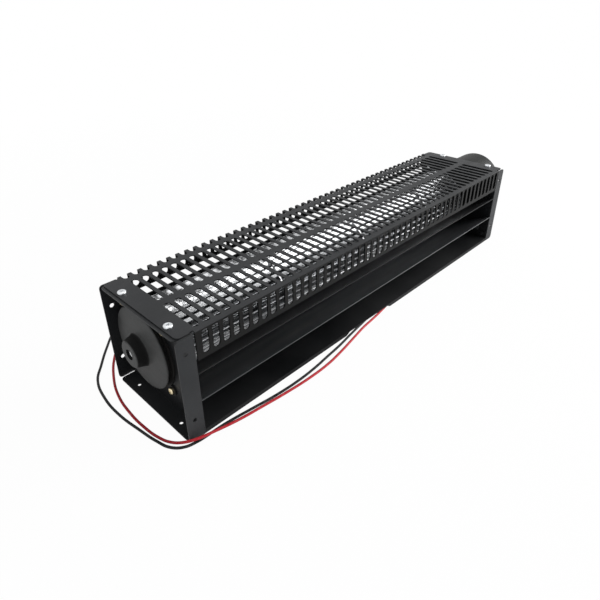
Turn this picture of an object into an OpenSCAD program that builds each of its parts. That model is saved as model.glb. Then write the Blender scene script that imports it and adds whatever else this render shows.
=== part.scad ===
// Cross-flow fan: a sheet-metal casing with a slotted inlet cover, a long bladed wheel
// and a brushed motor on its far end, with two free supply leads.
// Lengths are in millimetres. X runs along the wheel, -Y is the outlet side, +Z is up.
// The origin is the centre of the four foot holes, on the underside of the end plates.

/* [Casing] */
// Length over both end plates
casing_l = 550; // [480:10:700]
// Depth from the outlet face to the back face
casing_w = 120; // [118:1:140]
// Height of the end plates
casing_h = 107; // [105:1:120]
// Thickness of the casing sheets
sheet_t = 1.2; // [0.8:0.1:1.5]
// Depth of the near end plate's flanges
near_flange_d = 17; // [16:0.5:22]
// Depth of the far end plate's flanges
far_flange_d = 15.5; // [14:0.5:20]
// Width of the slit between two flanges at a corner
corner_slit = 2; // [1:0.1:3]
// Radius of the flanges' free corners
flange_corner_r = 3.5; // [0.5:0.5:4]
// Height of the base plate's underside above the end plates' underside
base_gap = 3.5; // [3:0.1:6]
// Gap between the back wall and the cover's back flange
back_wall_gap = 9; // [5:0.5:20]

/* [Fixing holes] */
// Distance of the flange holes from the outer edge of each end plate
hole_inset = 8; // [6:0.5:9]
// Distance of the foot holes from the front and back faces
foot_hole_inset = 24.5; // [20:0.5:35]
// Diameter of a foot hole
foot_hole_d = 3.4; // [3:0.1:6]
// Height of the lower hole in the front flange
front_hole_z = 22; // [15:1:30]
// Distance of the upper hole in the front flange from the top
front_hole_drop = 15; // [8:1:30]
// Diameter of a hole in the front flange
front_hole_d = 4.2; // [3:0.1:6]
// Height of the lower hole in the back flange
back_hole_z = 23.5; // [15:0.5:30]
// Distance of the upper hole in the back flange from the top
back_hole_drop = 24; // [10:1:35]
// Diameter of a hole in the back flange
back_hole_d = 4.6; // [3:0.1:8]

/* [Inlet cover] */
// Distance of the cover's ends from the ends of the casing
cover_inset = 2.8; // [1:0.1:5]
// Gap between the cover's side flanges and the end plates' webs
cover_end_gap = 1.5; // [0.5:0.1:3]
// Radius of the corners of the cover's end tabs
tab_corner_r = 4; // [1:0.5:8]
// Distance of an end tab's edges from the cover's front and back faces
tab_setback = 2; // [0:0.1:2.5]
// Size of the bend relief between an end tab and a side flange
bend_relief = 3; // [3:0.5:4]
// Height of the front flange
cover_front_h = 27.7; // [20:0.1:32]
// Height of the back flange
cover_back_h = 18.8; // [14:0.1:24]
// Number of slots in a row
slot_count = 48; // [20:1:50]
// Distance of the first and last slot's middle from the ends of the side flanges
slot_margin = 7.45; // [7:0.05:12]
// Width of a slot
slot_w = 6.6; // [4:0.1:7.2]
// Length of a slot in the back row on top
top_back_slot_l = 47.3; // [30:0.1:49]
// Distance of the front row on top from the front face
top_front_inset = 5; // [3:0.5:8]
// Width of the plain strip between the two rows on top
top_strip_w = 7.7; // [6:0.1:12]
// Length of the back flange's slots that lies on top
back_wrap = 8; // [5:0.5:9]
// Width of the plain strip between the back row on top and the back flange's slots
back_strip_w = 6; // [4:0.5:12]
// Height of the plain strip below the slots of both flanges
flange_strip_h = 4; // [3:0.1:8]
// Shift of the back row on top along the casing
top_back_shift = 1.4; // [0:0.1:2]
// Shift of the front flange's row along the casing
front_flange_shift = 2.65; // [0:0.05:2.7]

/* [Air path] */
// Gap between the wheel and the scroll at the back
wheel_gap = 1.6; // [1:0.1:3]
// Growth of that gap from the back to the end of the scroll
scroll_growth = 4.9; // [3:0.1:7]
// Gap between the base plate and the scroll
under_scroll_gap = 3.6; // [1:0.1:6]
// Angle of the wheel that the scroll wraps
scroll_wrap = 115; // [95:1:125]
// Height of the outlet
outlet_h = 27.4; // [18:0.1:29]
// Height of the lower lip's turned-down edge
lower_lip_h = 1.3; // [1:0.1:6]
// Gap between the outlet's upper lip and the cover's front flange
outlet_top_gap = 12.3; // [6:0.1:16]
// Height of the upper lip's turned-up edge
upper_lip_h = 1.3; // [1:0.1:6]
// Gap between the wheel and the tongue
tongue_gap = 2.5; // [2:0.1:5]
// Angle of the tongue's edge below the wheel's front
tongue_drop = 15; // [8:1:25]

/* [Wheel] */
// Gap between the wheel and the top of the end plates
wheel_top_gap = 12; // [11:0.5:16]
// Number of blades in a segment
blade_count = 30; // [20:1:36]
// Radial depth of a blade
blade_depth = 8; // [6:0.5:11]
// Thickness of a blade
blade_t = 0.6; // [0.4:0.1:1]
// Angle by which a blade's outer edge trails its inner edge
blade_sweep = 11; // [4:1:16]
// Turn of each segment against the one before
segment_turn = 3; // [0:1:6]
// Distance between two discs; the last segment takes the rest of the wheel
segment_pitch = 134.2; // [120:0.2:136]
// Thickness of a wheel disc
disc_t = 1.5; // [1:0.1:2.5]
// Overhang of a disc beyond the blades
disc_lip = 0.4; // [0.2:0.1:1]
// Bore of a middle disc
disc_bore_d = 48; // [30:1:58]
// Gap between the near web and the wheel
wheel_near_gap = 2; // [1.8:0.1:5]
// Distance from the far end of the wheel to the far web
wheel_far_gap = 22.7; // [20:0.1:40]
// Diameter of a wheel boss
boss_d = 18; // [16:1:24]
// Length of a wheel boss
boss_l = 13; // [10:1:20]

/* [Near bearing] */
// Overlap of the near web over the wheel's rim
web_overlap = 1.5; // [0.5:0.5:3]
// Overlap of the bearing dish's rim over the web
dish_overlap = 3; // [1:0.5:3.5]
// Height of the dish's rim above the web
dish_rise = 7.2; // [6:0.1:9]
// Height of the dish's hub face above the web
hub_rise = 16.8; // [16:0.1:22]
// Diameter of the hub's face
hub_face_d = 28.6; // [26:0.2:32]
// Diameter of the hole in the hub's face
hub_hole_d = 8.4; // [7:0.1:10]
// Thickness of the bracket plate
bracket_t = 1.5; // [1:0.1:2]
// Distance of the bracket screws from the dish's rim
bracket_screw_gap = 5.5; // [5:0.5:7]
// Bore of the ball bearing
bearing_bore = 6; // [5:0.5:7]
// Outer diameter of the ball bearing
bearing_d = 19; // [18:0.5:21]
// Width of the ball bearing
bearing_w = 6; // [5:0.5:7]
// Number of balls
ball_count = 7; // [5:1:8]
// Diameter of a ball
ball_d = 3.2; // [2.6:0.1:3.4]

/* [Motor] */
// Gap between the motor can and the scroll
motor_gap = 0.6; // [0.5:0.1:3]
// Distance from the far edge of the casing to the motor's end
motor_out = 79; // [74:1:100]
// Distance that the motor reaches inside the far web
motor_in = 13.5; // [10:0.5:16]
// Wall of the motor can and its end cap
can_t = 2; // [1.5:0.1:3]
// Length of the end cap
cap_l = 15.5; // [12:0.5:18]
// Edge radius of the end cap
cap_edge_r = 3; // [2:0.5:5]
// Gap between the motor can and the far web's opening
far_bore_gap = 1; // [0.5:0.1:1.4]
// Wall of the collar that holds the motor
collar_t = 1.5; // [1:0.1:1.6]
// Length of that collar
collar_l = 9; // [6:1:14]
// Thickness of the collar's ears
collar_ear_t = 2; // [1.5:0.1:3]
// Distance of the collar screws from the motor can
collar_screw_gap = 6; // [5.5:0.5:7]
// Diameter of the motor shaft
motor_shaft_d = 8; // [6:0.5:9]
// Thickness of the magnets
magnet_t = 7.5; // [5:0.5:9]
// Length of the armature core
core_l = 48; // [40:1:52]
// Number of core slots
core_slots = 12; // [8:1:14]
// Air gap between the core and the magnets
air_gap = 0.7; // [0.4:0.1:1.2]
// Diameter of the commutator
commutator_d = 22; // [18:1:26]
// Length of the commutator
commutator_l = 10; // [8:0.5:11]

/* [Leads] */
// Diameter of a lead
lead_d = 2.6; // [2:0.1:2.8]
// Length of a lead's bare end
bare_l = 7; // [4:1:12]

/* [Fasteners] */
// Diameter of a cover screw's head
cover_head_d = 8; // [7:0.5:11]
// Height of a cover screw's head
cover_head_h = 2.4; // [2:0.1:4]
// Diameter of a cover screw's thread
cover_thread_d = 3.9; // [3:0.1:5]
// Length of a cover screw below its head
cover_screw_l = 9; // [6:1:14]
// Distance from the front face to the front cover screws
cover_screw_front = 20.5; // [15:0.5:30]
// Distance from the back face to the back cover screws
cover_screw_back = 28; // [20:0.5:40]
// Diameter of a brass screw's head
brass_head_d = 7; // [5:0.5:8]
// Diameter of a brass screw's thread
brass_thread_d = 3.8; // [3:0.1:4.4]
// Height of a brass screw's head
brass_head_h = 2.4; // [1.5:0.1:3]
// Length of a brass screw below its head
brass_screw_l = 6; // [5:0.5:8]
// Diameter of a rivet's shank
rivet_d = 3; // [2.4:0.1:4]
// Diameter of a motor bolt
motor_bolt_d = 3.8; // [3:0.1:4.4]

/* [Hidden] */
$fn = 64;

// Clearance of a screw or rivet in its hole, on the radius
hole_clear = 0.15;
// Running clearance of a shaft or a ball, on the radius
run_clear = 0.05;
// Overshoot of a cutting solid
cut = 1;

x_near = -casing_l / 2;
x_far = casing_l / 2;
y_front = -casing_w / 2;
y_back = casing_w / 2;
near_web_in = x_near + near_flange_d;
near_web_out = near_web_in - sheet_t;
far_web_in = x_far - far_flange_d;
far_web_out = far_web_in + sheet_t;
base_top = base_gap + sheet_t;

cover_front_z = casing_h - cover_front_h;
cover_back_z = casing_h - cover_back_h;
upper_lip_z = cover_front_z - outlet_top_gap - upper_lip_h;
lower_lip_z = upper_lip_z - outlet_h;
back_wall_h = cover_back_z - back_wall_gap;

under_wheel = under_scroll_gap + sheet_t + scroll_growth + wheel_gap;
wheel_r = (casing_h - wheel_top_gap - under_wheel - base_top) / 2;
scroll_r0 = wheel_r + wheel_gap;
scroll_r1 = scroll_r0 + scroll_growth;
axis_y = y_back - 2 * sheet_t - scroll_r0;
axis_z = base_top + under_scroll_gap + sheet_t + scroll_r1;

// ---- Outlines ----

function reversed(list) = [for (i = [len(list) - 1:-1:0]) list[i]];

function unit(v) = v / norm(v);

function left_of(v) = [-v[1], v[0]];

// Direction of the path before and after point i
function leg_in(path, i) = unit(path[max(i, 1)] - path[max(i, 1) - 1]);
function leg_out(path, i) = unit(path[min(i + 1, len(path) - 1)] - path[min(i, len(path) - 2)]);

// A path moved by t to its left, with mitred corners
function beside(path, t) = [for (i = [0:len(path) - 1])
    let (a = left_of(leg_in(path, i)), b = left_of(leg_out(path, i)))
    path[i] + (a + b) * t / (1 + a * b)];

// Outline of a sheet of thickness t to the left of a path
function sheet_outline(path, t) = concat(path, reversed(beside(path, t)));

function polar(r, a) = [r * cos(a), r * sin(a)];

// Half circle of radius r round c, from angle a
function half_circle(c, r, a, steps = 8) = [for (i = [0:steps]) c + polar(r, a + 180 * i / steps)];

// Quarter circle of radius r round c, from angle a
function corner(c, r, a, steps = 4) = [for (i = [0:steps]) c + polar(r, a + 90 * i / steps)];

// Slot of width w between two ends on a line across the casing
function slot_outline(x, lo, hi, w) = concat(
    half_circle([x, hi - w / 2], w / 2, 0),
    half_circle([x, lo + w / 2], w / 2, 180));

// Open-ended slot that comes in from the edge at height edge, drawn right to left
function notch_outline(x, edge, deep, w) = concat(
    [[x + w / 2, edge]],
    reversed(half_circle([x, deep + w / 2], w / 2, 180)),
    [[x - w / 2, edge]]);

// A plate with holes: outer outline and a list of hole outlines, extruded by t
module plate(outer, holes, t) {
    points = concat(outer, [for (h = holes) each h]);
    size = len(outer);
    hole_size = len(holes) > 0 ? len(holes[0]) : 0;
    paths = concat([[for (i = [0:size - 1]) i]],
        [for (k = [0:1:len(holes) - 1]) [for (i = [0:hole_size - 1]) size + k * hole_size + i]]);
    linear_extrude(t) polygon(points, paths);
}

// ---- Placing ----

// Children with local Z along +X, on the wheel's axis
module on_axis(x) {
    translate([x, axis_y, axis_z]) rotate([90, 0, 90]) children();
}

// Children with local Z along -X, on the wheel's axis
module on_axis_out(x) {
    translate([x, axis_y, axis_z]) rotate([90, 0, -90]) children();
}

// A profile in the Y-Z plane, extruded along +X between two places
module along_x(x0, x1) {
    translate([x0, 0, 0]) rotate([90, 0, 90]) linear_extrude(x1 - x0) children();
}

module round_bar(x0, x1, r) {
    on_axis(x0) cylinder(r = r, h = x1 - x0);
}

module ring(x0, x1, outer, inner) {
    on_axis(x0) difference() {
        cylinder(r = outer, h = x1 - x0);
        translate([0, 0, -cut]) cylinder(r = inner, h = x1 - x0 + 2 * cut);
    }
}

// Four places on the diagonals of a circle
module on_diagonals(pcd) {
    for (a = [45:90:315]) rotate([0, 0, a]) translate([pcd / 2, 0, 0]) children();
}

// Screw with a domed head: head above Z = 0, thread below
module pan_screw(head_d, head_h, thread_d, length, recess = true) {
    edge = head_h * 0.45;
    difference() {
        union() {
            rotate_extrude() polygon([[0, 0], [head_d / 2, 0], [head_d / 2, head_h - edge],
                [head_d / 2 - edge * 0.5, head_h - edge * 0.35], [head_d / 2 - edge * 1.6, head_h],
                [0, head_h]]);
            translate([0, 0, -length]) cylinder(d = thread_d, h = length + cut / 2);
        }
        if (recess) for (a = [0, 90]) rotate([0, 0, a])
            translate([-head_d * 0.24, -head_d * 0.045, head_h * 0.45])
                cube([head_d * 0.48, head_d * 0.09, head_h]);
    }
}

// ---- End plates ----

module cover_screw_places() {
    for (x = [x_near + hole_inset, x_far - hole_inset])
        for (y = [y_front + cover_screw_front, y_back - cover_screw_back])
            translate([x, y, casing_h + sheet_t]) children();
}

// A flange of depth d towards -X and length l along Y, with its two free corners rounded
module flange(d, l) {
    r = flange_corner_r;
    linear_extrude(sheet_t) polygon(concat([[0, 0], [0, l]],
        corner([r - d, l - r], r, 90), corner([r - d, r], r, 180)));
}

// A tray with its web's inner face at X = 0 and flanges towards -X
module tray(flange_d) {
    flange_in = sheet_t + corner_slit;
    translate([-sheet_t, y_front, 0]) cube([sheet_t, casing_w, casing_h]);
    for (y = [y_front + sheet_t, y_back])
        translate([0, y, 0]) rotate([90, 0, 0]) flange(flange_d, casing_h);
    for (z = [0, casing_h - sheet_t])
        translate([0, y_front + flange_in, z]) flange(flange_d, casing_w - 2 * flange_in);
}

// Holes in the flanges, at local X = x, for one end plate
module flange_holes(x) {
    for (y = [y_front + foot_hole_inset, y_back - foot_hole_inset])
        translate([x, y, -cut]) cylinder(d = foot_hole_d, h = sheet_t + 2 * cut);
    for (z = [front_hole_z, casing_h - front_hole_drop])
        translate([x, y_front - cut, z]) rotate([-90, 0, 0])
            cylinder(d = front_hole_d, h = sheet_t + 2 * cut);
    for (z = [back_hole_z, casing_h - back_hole_drop])
        translate([x, y_back + cut, z]) rotate([90, 0, 0])
            cylinder(d = back_hole_d, h = sheet_t + 2 * cut);
    for (y = [y_front + cover_screw_front, y_back - cover_screw_back])
        translate([x, y, casing_h - sheet_t - cut])
            cylinder(d = cover_thread_d + 2 * hole_clear, h = sheet_t + 2 * cut);
}

// Holes through a web whose inner face is at X = 0: opening, its screws, and rivets
module web_holes(opening_r, pcd) {
    deep = sheet_t + 2 * cut;
    translate([-sheet_t - cut, axis_y, axis_z]) rotate([90, 0, 90]) {
        cylinder(r = opening_r, h = deep, $fn = 96);
        on_diagonals(pcd) cylinder(d = brass_thread_d + 2 * hole_clear, h = deep);
    }
    for (p = rivet_places)
        translate([-sheet_t - cut, p[0], p[1]]) rotate([90, 0, 90])
            cylinder(d = rivet_d + 2 * hole_clear, h = deep);
}

module near_end_plate() {
    color("#232528") translate([near_web_in, 0, 0]) difference() {
        tray(near_flange_d);
        flange_holes(hole_inset - near_flange_d);
        web_holes(near_bore_r, bracket_pcd);
    }
}

module far_end_plate() {
    color("#232528") translate([far_web_in, 0, 0]) mirror([1, 0, 0]) difference() {
        tray(far_flange_d);
        flange_holes(hole_inset - far_flange_d);
        web_holes(motor_r + far_bore_gap, collar_pcd);
    }
}

// ---- Inlet cover ----

cover_x0 = x_near + cover_inset;
cover_x1 = x_far - cover_inset;
flange_x0 = near_web_in + cover_end_gap;
flange_x1 = far_web_in - cover_end_gap;
row_mid = (slot_count - 1) / 2;
slot_pitch = (flange_x1 - flange_x0 - 2 * slot_margin) / (slot_count - 1);
slot_xs = [for (i = [0:slot_count - 1]) (i - row_mid) * slot_pitch];
top_back_y1 = y_back - back_wrap - back_strip_w;
top_back_y0 = top_back_y1 - top_back_slot_l;
top_front_y0 = y_front + top_front_inset;
top_front_y1 = top_back_y0 - top_strip_w;

// Height at which a flange ends inside the top sheet that it is folded from
fold_z = casing_h + sheet_t / 2;

module cover_top() {
    r = tab_corner_r;
    deep = y_back - back_wrap;
    tab_front = y_front + tab_setback;
    tab_back = y_back - tab_setback;
    relief_front = y_front + bend_relief;
    relief_back = y_back - bend_relief;
    relief_x0 = flange_x0 - bend_relief;
    relief_x1 = flange_x1 + bend_relief;
    near_side = [[flange_x0, y_back], [flange_x0, relief_back],
        [relief_x0, relief_back], [relief_x0, tab_back]];
    front_side = [[relief_x0, tab_front], [relief_x0, relief_front],
        [flange_x0, relief_front], [flange_x0, y_front],
        [flange_x1, y_front], [flange_x1, relief_front],
        [relief_x1, relief_front], [relief_x1, tab_front]];
    far_side = [[relief_x1, tab_back], [relief_x1, relief_back],
        [flange_x1, relief_back], [flange_x1, y_back]];
    outer = concat(
        corner([cover_x0 + r, tab_front + r], r, 180),
        front_side,
        corner([cover_x1 - r, tab_front + r], r, 270),
        corner([cover_x1 - r, tab_back - r], r, 0),
        far_side,
        [for (x = reversed(slot_xs)) each notch_outline(x, y_back, deep, slot_w)],
        near_side,
        corner([cover_x0 + r, tab_back - r], r, 90));
    holes = concat(
        [for (x = slot_xs) slot_outline(x, top_front_y0, top_front_y1, slot_w)],
        [for (x = slot_xs) slot_outline(x + top_back_shift, top_back_y0, top_back_y1, slot_w)]);
    translate([0, 0, casing_h]) plate(outer, holes, sheet_t);
}

module cover_front_flange() {
    outer = [[flange_x0, cover_front_z], [flange_x1, cover_front_z],
        [flange_x1, fold_z], [flange_x0, fold_z]];
    slot_top = casing_h - sheet_t / 3;
    holes = [for (x = slot_xs)
        slot_outline(x + front_flange_shift, cover_front_z + flange_strip_h, slot_top, slot_w)];
    translate([0, y_front + sheet_t, 0]) rotate([90, 0, 0]) plate(outer, holes, sheet_t);
}

module cover_back_flange() {
    deep = cover_back_z + flange_strip_h;
    outer = concat([[flange_x0, cover_back_z], [flange_x1, cover_back_z], [flange_x1, fold_z]],
        [for (x = reversed(slot_xs)) each notch_outline(x, fold_z, deep, slot_w)],
        [[flange_x0, fold_z]]);
    translate([0, y_back, 0]) rotate([90, 0, 0]) plate(outer, [], sheet_t);
}

module grille_cover() {
    color("#2a2c2e") difference() {
        union() {
            cover_top();
            cover_front_flange();
            cover_back_flange();
        }
        cover_screw_places() translate([0, 0, -sheet_t - cut])
            cylinder(d = cover_thread_d + 4 * hole_clear, h = sheet_t + 2 * cut);
    }
}

// ---- Base, scroll and tongue ----

// Inner radius of the scroll at an angle past the wheel's back
function scroll_r(a) = scroll_r0 + scroll_growth * pow(a / scroll_wrap, 1.5);

scroll_steps = 23;
scroll_start_z = axis_z + 6.5;
scroll_path = concat(
    [[axis_y + scroll_r0, scroll_start_z]],
    [for (i = [0:scroll_steps]) let (a = scroll_wrap * i / scroll_steps)
        [axis_y, axis_z] + polar(scroll_r(a), -a)],
    [[y_front, lower_lip_z], [y_front, lower_lip_z - lower_lip_h]]);

// Height of the scroll's ramp above a place between the wheel and the lip
ramp_foot = [axis_y, axis_z] + polar(scroll_r1, -scroll_wrap);
function ramp_z(y) = lower_lip_z + (ramp_foot[1] - lower_lip_z) * (y - y_front) / (ramp_foot[0] - y_front);

tongue_r = wheel_r + tongue_gap;
tongue_edge = [axis_y, axis_z] + polar(tongue_r, 180 + tongue_drop);
tongue_path = [[y_front, upper_lip_z + upper_lip_h], [y_front, upper_lip_z], tongue_edge,
    [axis_y, axis_z] + polar(tongue_r, 180 + tongue_drop - 6)];

function tongue_z(y) = upper_lip_z
    + (tongue_edge[1] - upper_lip_z) * (y - y_front) / (tongue_edge[0] - y_front);

// Rivet places: base plate's front and back tabs, scroll's tab, tongue's tab
tab_w = 12;
base_tab_h = 9;
scroll_tab_h = 13;
tongue_tab_h = 10.5;
base_tab_inset = 7.7;
base_tab_back_inset = 10;
scroll_tab_inset = 20;
tongue_tab_inset = 15;
base_tab_front = y_front + base_tab_inset;
base_tab_back = y_back - base_tab_back_inset;
scroll_tab_y = y_front + scroll_tab_inset;
tongue_tab_y = y_front + tongue_tab_inset;
rivet_z = base_top + base_tab_h / 2;
scroll_tab_top = ramp_z(scroll_tab_y + tab_w / 2);
tongue_tab_low = tongue_z(tongue_tab_y - tab_w / 2);
rivet_places = [[base_tab_front, rivet_z], [base_tab_back, rivet_z],
    [scroll_tab_y, scroll_tab_top - scroll_tab_h / 2],
    [tongue_tab_y, tongue_tab_low + tongue_tab_h / 2]];

// A tab against both webs, round a rivet at y, between two heights at its front and back edge
module end_tabs(y, front, back) {
    y0 = y - tab_w / 2;
    y1 = y + tab_w / 2;
    for (x = [near_web_in, far_web_in - sheet_t])
        along_x(x, x + sheet_t)
            polygon([[y0, front[0]], [y1, back[0]], [y1, back[1]], [y0, front[1]]]);
}

module rivet_holes() {
    for (x = [near_web_in - cut, far_web_in - sheet_t - cut])
        for (p = rivet_places)
            translate([x, p[0], p[1]]) rotate([90, 0, 90])
                cylinder(d = rivet_d + 2 * hole_clear, h = sheet_t + 2 * cut);
}

module base_and_back_wall() {
    inner_l = far_web_in - near_web_in;
    edges = [base_top - sheet_t / 2, base_top + base_tab_h];
    color("#1c1d20") difference() {
        union() {
            translate([near_web_in, y_front + 1.5, base_gap])
                cube([inner_l, casing_w - 1.5, sheet_t]);
            translate([near_web_in, y_back - sheet_t, base_gap])
                cube([inner_l, sheet_t, back_wall_h - base_gap]);
            for (y = [base_tab_front, base_tab_back])
                end_tabs(y, edges, edges);
        }
        rivet_holes();
    }
}

module scroll_sheet() {
    low = scroll_tab_top - scroll_tab_h;
    front = ramp_z(scroll_tab_y - tab_w / 2) - sheet_t / 2;
    back = scroll_tab_top - sheet_t / 2;
    color("#26272a") difference() {
        union() {
            along_x(near_web_in, far_web_in) polygon(sheet_outline(scroll_path, sheet_t));
            end_tabs(scroll_tab_y, [low, front], [low, back]);
        }
        rivet_holes();
    }
}

module tongue_sheet() {
    top = tongue_tab_low + tongue_tab_h;
    front = tongue_tab_low + sheet_t / 2;
    back = tongue_z(tongue_tab_y + tab_w / 2) + sheet_t / 2;
    color("#2b2c30") difference() {
        union() {
            along_x(near_web_in, far_web_in) polygon(sheet_outline(tongue_path, sheet_t));
            end_tabs(tongue_tab_y, [front, top], [back, top]);
        }
        rivet_holes();
    }
}

// Rivet along +X through a web and a tab, with the head at local X below 0
module rivet() {
    grip = 2 * sheet_t;
    rotate([90, 0, 90]) rotate_extrude() polygon([[0, -1.1], [rivet_d * 0.5, -1.1],
        [rivet_d, -0.4], [rivet_d, 0], [rivet_d / 2, 0], [rivet_d / 2, grip],
        [rivet_d * 0.75, grip], [rivet_d * 0.6, grip + 1.1], [0, grip + 1.1]]);
}

module shell_rivets() {
    color("#1a1b1d") for (p = rivet_places) {
        translate([near_web_out, p[0], p[1]]) rivet();
        translate([far_web_out, p[0], p[1]]) mirror([1, 0, 0]) rivet();
    }
}

module cover_screws() {
    color("#d4d8dc") cover_screw_places()
        pan_screw(cover_head_d, cover_head_h, cover_thread_d, cover_screw_l);
}

// ---- Near bearing ----

near_bore_r = wheel_r - web_overlap;
groove_r = near_bore_r - 5;
lip_r = groove_r + 3;
dish_r = near_bore_r + dish_overlap;
plate_r = dish_r + 1;
bracket_pcd = 2 * (dish_r + bracket_screw_gap);

module bearing_bracket() {
    color("#1d1c1a") on_axis_out(near_web_out) difference() {
        union() {
            cylinder(r = plate_r, h = bracket_t, $fn = 96);
            on_diagonals(bracket_pcd) cylinder(d = brass_head_d + 4, h = bracket_t);
        }
        translate([0, 0, -cut]) cylinder(r = groove_r, h = bracket_t + 2 * cut);
        on_diagonals(bracket_pcd) translate([0, 0, -cut])
            cylinder(d = brass_thread_d + 2 * hole_clear, h = bracket_t + 2 * cut);
    }
}

bearing_front = hub_rise - 1.6;
bearing_back = bearing_front - bearing_w;

module bearing_dish() {
    rim = dish_r;
    face = hub_face_d / 2;
    seat = bearing_d / 2;
    crown = dish_rise + 1.4;
    shell = dish_rise - 1;
    color("#54534f") on_axis_out(near_web_out) rotate_extrude($fn = 128) polygon([
        [hub_hole_d / 2, hub_rise], [face - 1.2, hub_rise], [face, hub_rise - 1],
        [face + 1.4, crown + 1.8], [face + 2.2, crown + 0.5], [face + 3.6, crown],
        [rim * 0.62, crown - 0.1], [rim * 0.82, crown - 0.6], [rim - 0.8, dish_rise],
        [rim, dish_rise - 0.7], [rim, dish_rise - 1.4], [rim - 0.8, dish_rise - 1.9],
        [lip_r, shell - 0.6], [lip_r, bracket_t], [groove_r, bracket_t], [groove_r, 0],
        [lip_r, 0], [lip_r, -0.8], [lip_r - 1, -1.4], [groove_r - 2, -1.4],
        [groove_r - 2, shell], [face, shell + 0.4], [face, bearing_back - 3],
        [seat, bearing_back - 3], [seat, bearing_front], [hub_hole_d / 2, bearing_front]]);
}

module bracket_screws() {
    color("#c9a860") on_axis_out(near_web_out - bracket_t) on_diagonals(bracket_pcd)
        pan_screw(brass_head_d, brass_head_h, brass_thread_d, brass_screw_l);
}

ball_pitch_r = (bearing_d + bearing_bore) / 4;
race_half_gap = ball_d * 0.4;
bearing_x0 = near_web_out - bearing_front;
bearing_mid = bearing_x0 + bearing_w / 2;

module race_profile(r0, r1) {
    difference() {
        translate([r0, -bearing_w / 2]) square([r1 - r0, bearing_w]);
        translate([ball_pitch_r, 0]) circle(d = ball_d + 2 * run_clear);
    }
}

module bearing_outer_race() {
    color("#c8ccd0") on_axis(bearing_mid) rotate_extrude()
        race_profile(ball_pitch_r + race_half_gap, bearing_d / 2);
}

module bearing_inner_race() {
    color("#c8ccd0") on_axis(bearing_mid) rotate_extrude()
        race_profile(bearing_bore / 2, ball_pitch_r - race_half_gap);
}

module bearing_balls() {
    color("#dfe2e5") on_axis(bearing_mid) for (i = [0:ball_count - 1])
        rotate([0, 0, 360 * i / ball_count]) translate([ball_pitch_r, 0, 0]) sphere(d = ball_d);
}

// ---- Wheel ----

wheel_x0 = near_web_in + wheel_near_gap;
wheel_x1 = far_web_in - wheel_far_gap;
segment_count = 4;
disc_r = wheel_r + disc_lip;

// Place of the first face of disc k, counted from 0 at the near end
function disc_x(k) = k < segment_count ? wheel_x0 + k * segment_pitch : wheel_x1 - disc_t;

module stub_shaft() {
    shoulder_r = bearing_bore / 2 + 1.4;
    end_x = near_web_out - hub_rise + 1;
    color("#e0e2e4") union() {
        round_bar(end_x, wheel_x0 + disc_t + boss_l - 2, bearing_bore / 2);
        round_bar(bearing_x0 + bearing_w + 0.2, wheel_x0, shoulder_r);
    }
}

module wheel_near_disc() {
    bore_r = bearing_bore / 2;
    color("#c9cccd") union() {
        ring(wheel_x0, wheel_x0 + disc_t, disc_r, bore_r);
        ring(wheel_x0 + disc_t, wheel_x0 + disc_t + boss_l, boss_d / 2, bore_r);
    }
}

module wheel_middle_discs() {
    color("#c9cccd") for (k = [1:segment_count - 1])
        ring(disc_x(k), disc_x(k) + disc_t, disc_r, disc_bore_d / 2);
}

grub_d = 4;
grub_x = wheel_x1 - disc_t - boss_l / 2;

module wheel_far_disc() {
    bore_r = motor_shaft_d / 2;
    color("#c9cccd") difference() {
        union() {
            ring(wheel_x1 - disc_t, wheel_x1, disc_r, bore_r);
            ring(wheel_x1 - disc_t - boss_l, wheel_x1 - disc_t, boss_d / 2, bore_r);
        }
        translate([grub_x, axis_y, axis_z]) cylinder(d = grub_d, h = boss_d);
    }
}

module hub_grub_screw() {
    length = boss_d / 2 - motor_shaft_d / 2;
    color("#3a3c40") translate([grub_x, axis_y, axis_z + motor_shaft_d / 2]) difference() {
        cylinder(d = grub_d, h = length);
        translate([0, 0, length - 2]) cylinder(d = grub_d / 2, h = 2 * cut + 2, $fn = 6);
    }
}

blade_path = [for (i = [0:5]) let (u = i / 5)
    polar(wheel_r - blade_depth * (1 - u), -blade_sweep * u * u)];

// One segment of blades between disc k and the next
module blades(k) {
    x0 = disc_x(k) + disc_t;
    color("#d3d6d8") on_axis(x0) for (i = [0:blade_count - 1])
        rotate([0, 0, segment_turn * k + 360 * i / blade_count])
            linear_extrude(disc_x(k + 1) - x0) polygon(sheet_outline(blade_path, blade_t));
}

module wheel_blades_1() {
    blades(0);
}

module wheel_blades_2() {
    blades(1);
}

module wheel_blades_3() {
    blades(2);
}

module wheel_blades_4() {
    blades(3);
}

// ---- Motor ----

motor_r = scroll_r0 - motor_gap;
motor_d = 2 * motor_r;
can_x0 = far_web_in - motor_in;
motor_end = x_far + motor_out;
can_x1 = motor_end - cap_l;
can_in_r = motor_r - can_t;
shaft_r = motor_shaft_d / 2;
bush_r = shaft_r + 3;
bush_l = 9;
bolt_r = motor_bolt_d / 2;
bolt_at = can_in_r - 3.8;
plate_t = 2;
brush_w = 6;
brush_x_l = 8;
lead_angle = -30;
lead_gap = 4.2;

core_d = 2 * (can_in_r - magnet_t - air_gap);
core_inset = 19;
core_x0 = can_x0 + core_inset;
core_x1 = core_x0 + core_l;
winding_over = 7;
plate_x0 = can_x1 - plate_t;
commutator_x1 = plate_x0 - 1.5;
commutator_x0 = commutator_x1 - commutator_l;
brush_x = (commutator_x0 + commutator_x1) / 2;
lead_x = brush_x + 0.5;

// The two motor bolts lie above and below the axis
module bolt_places() {
    for (a = [90, 270]) rotate([0, 0, a]) translate([bolt_at, 0, 0]) children();
}

collar_pcd = motor_d + 2 * collar_screw_gap;

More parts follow.
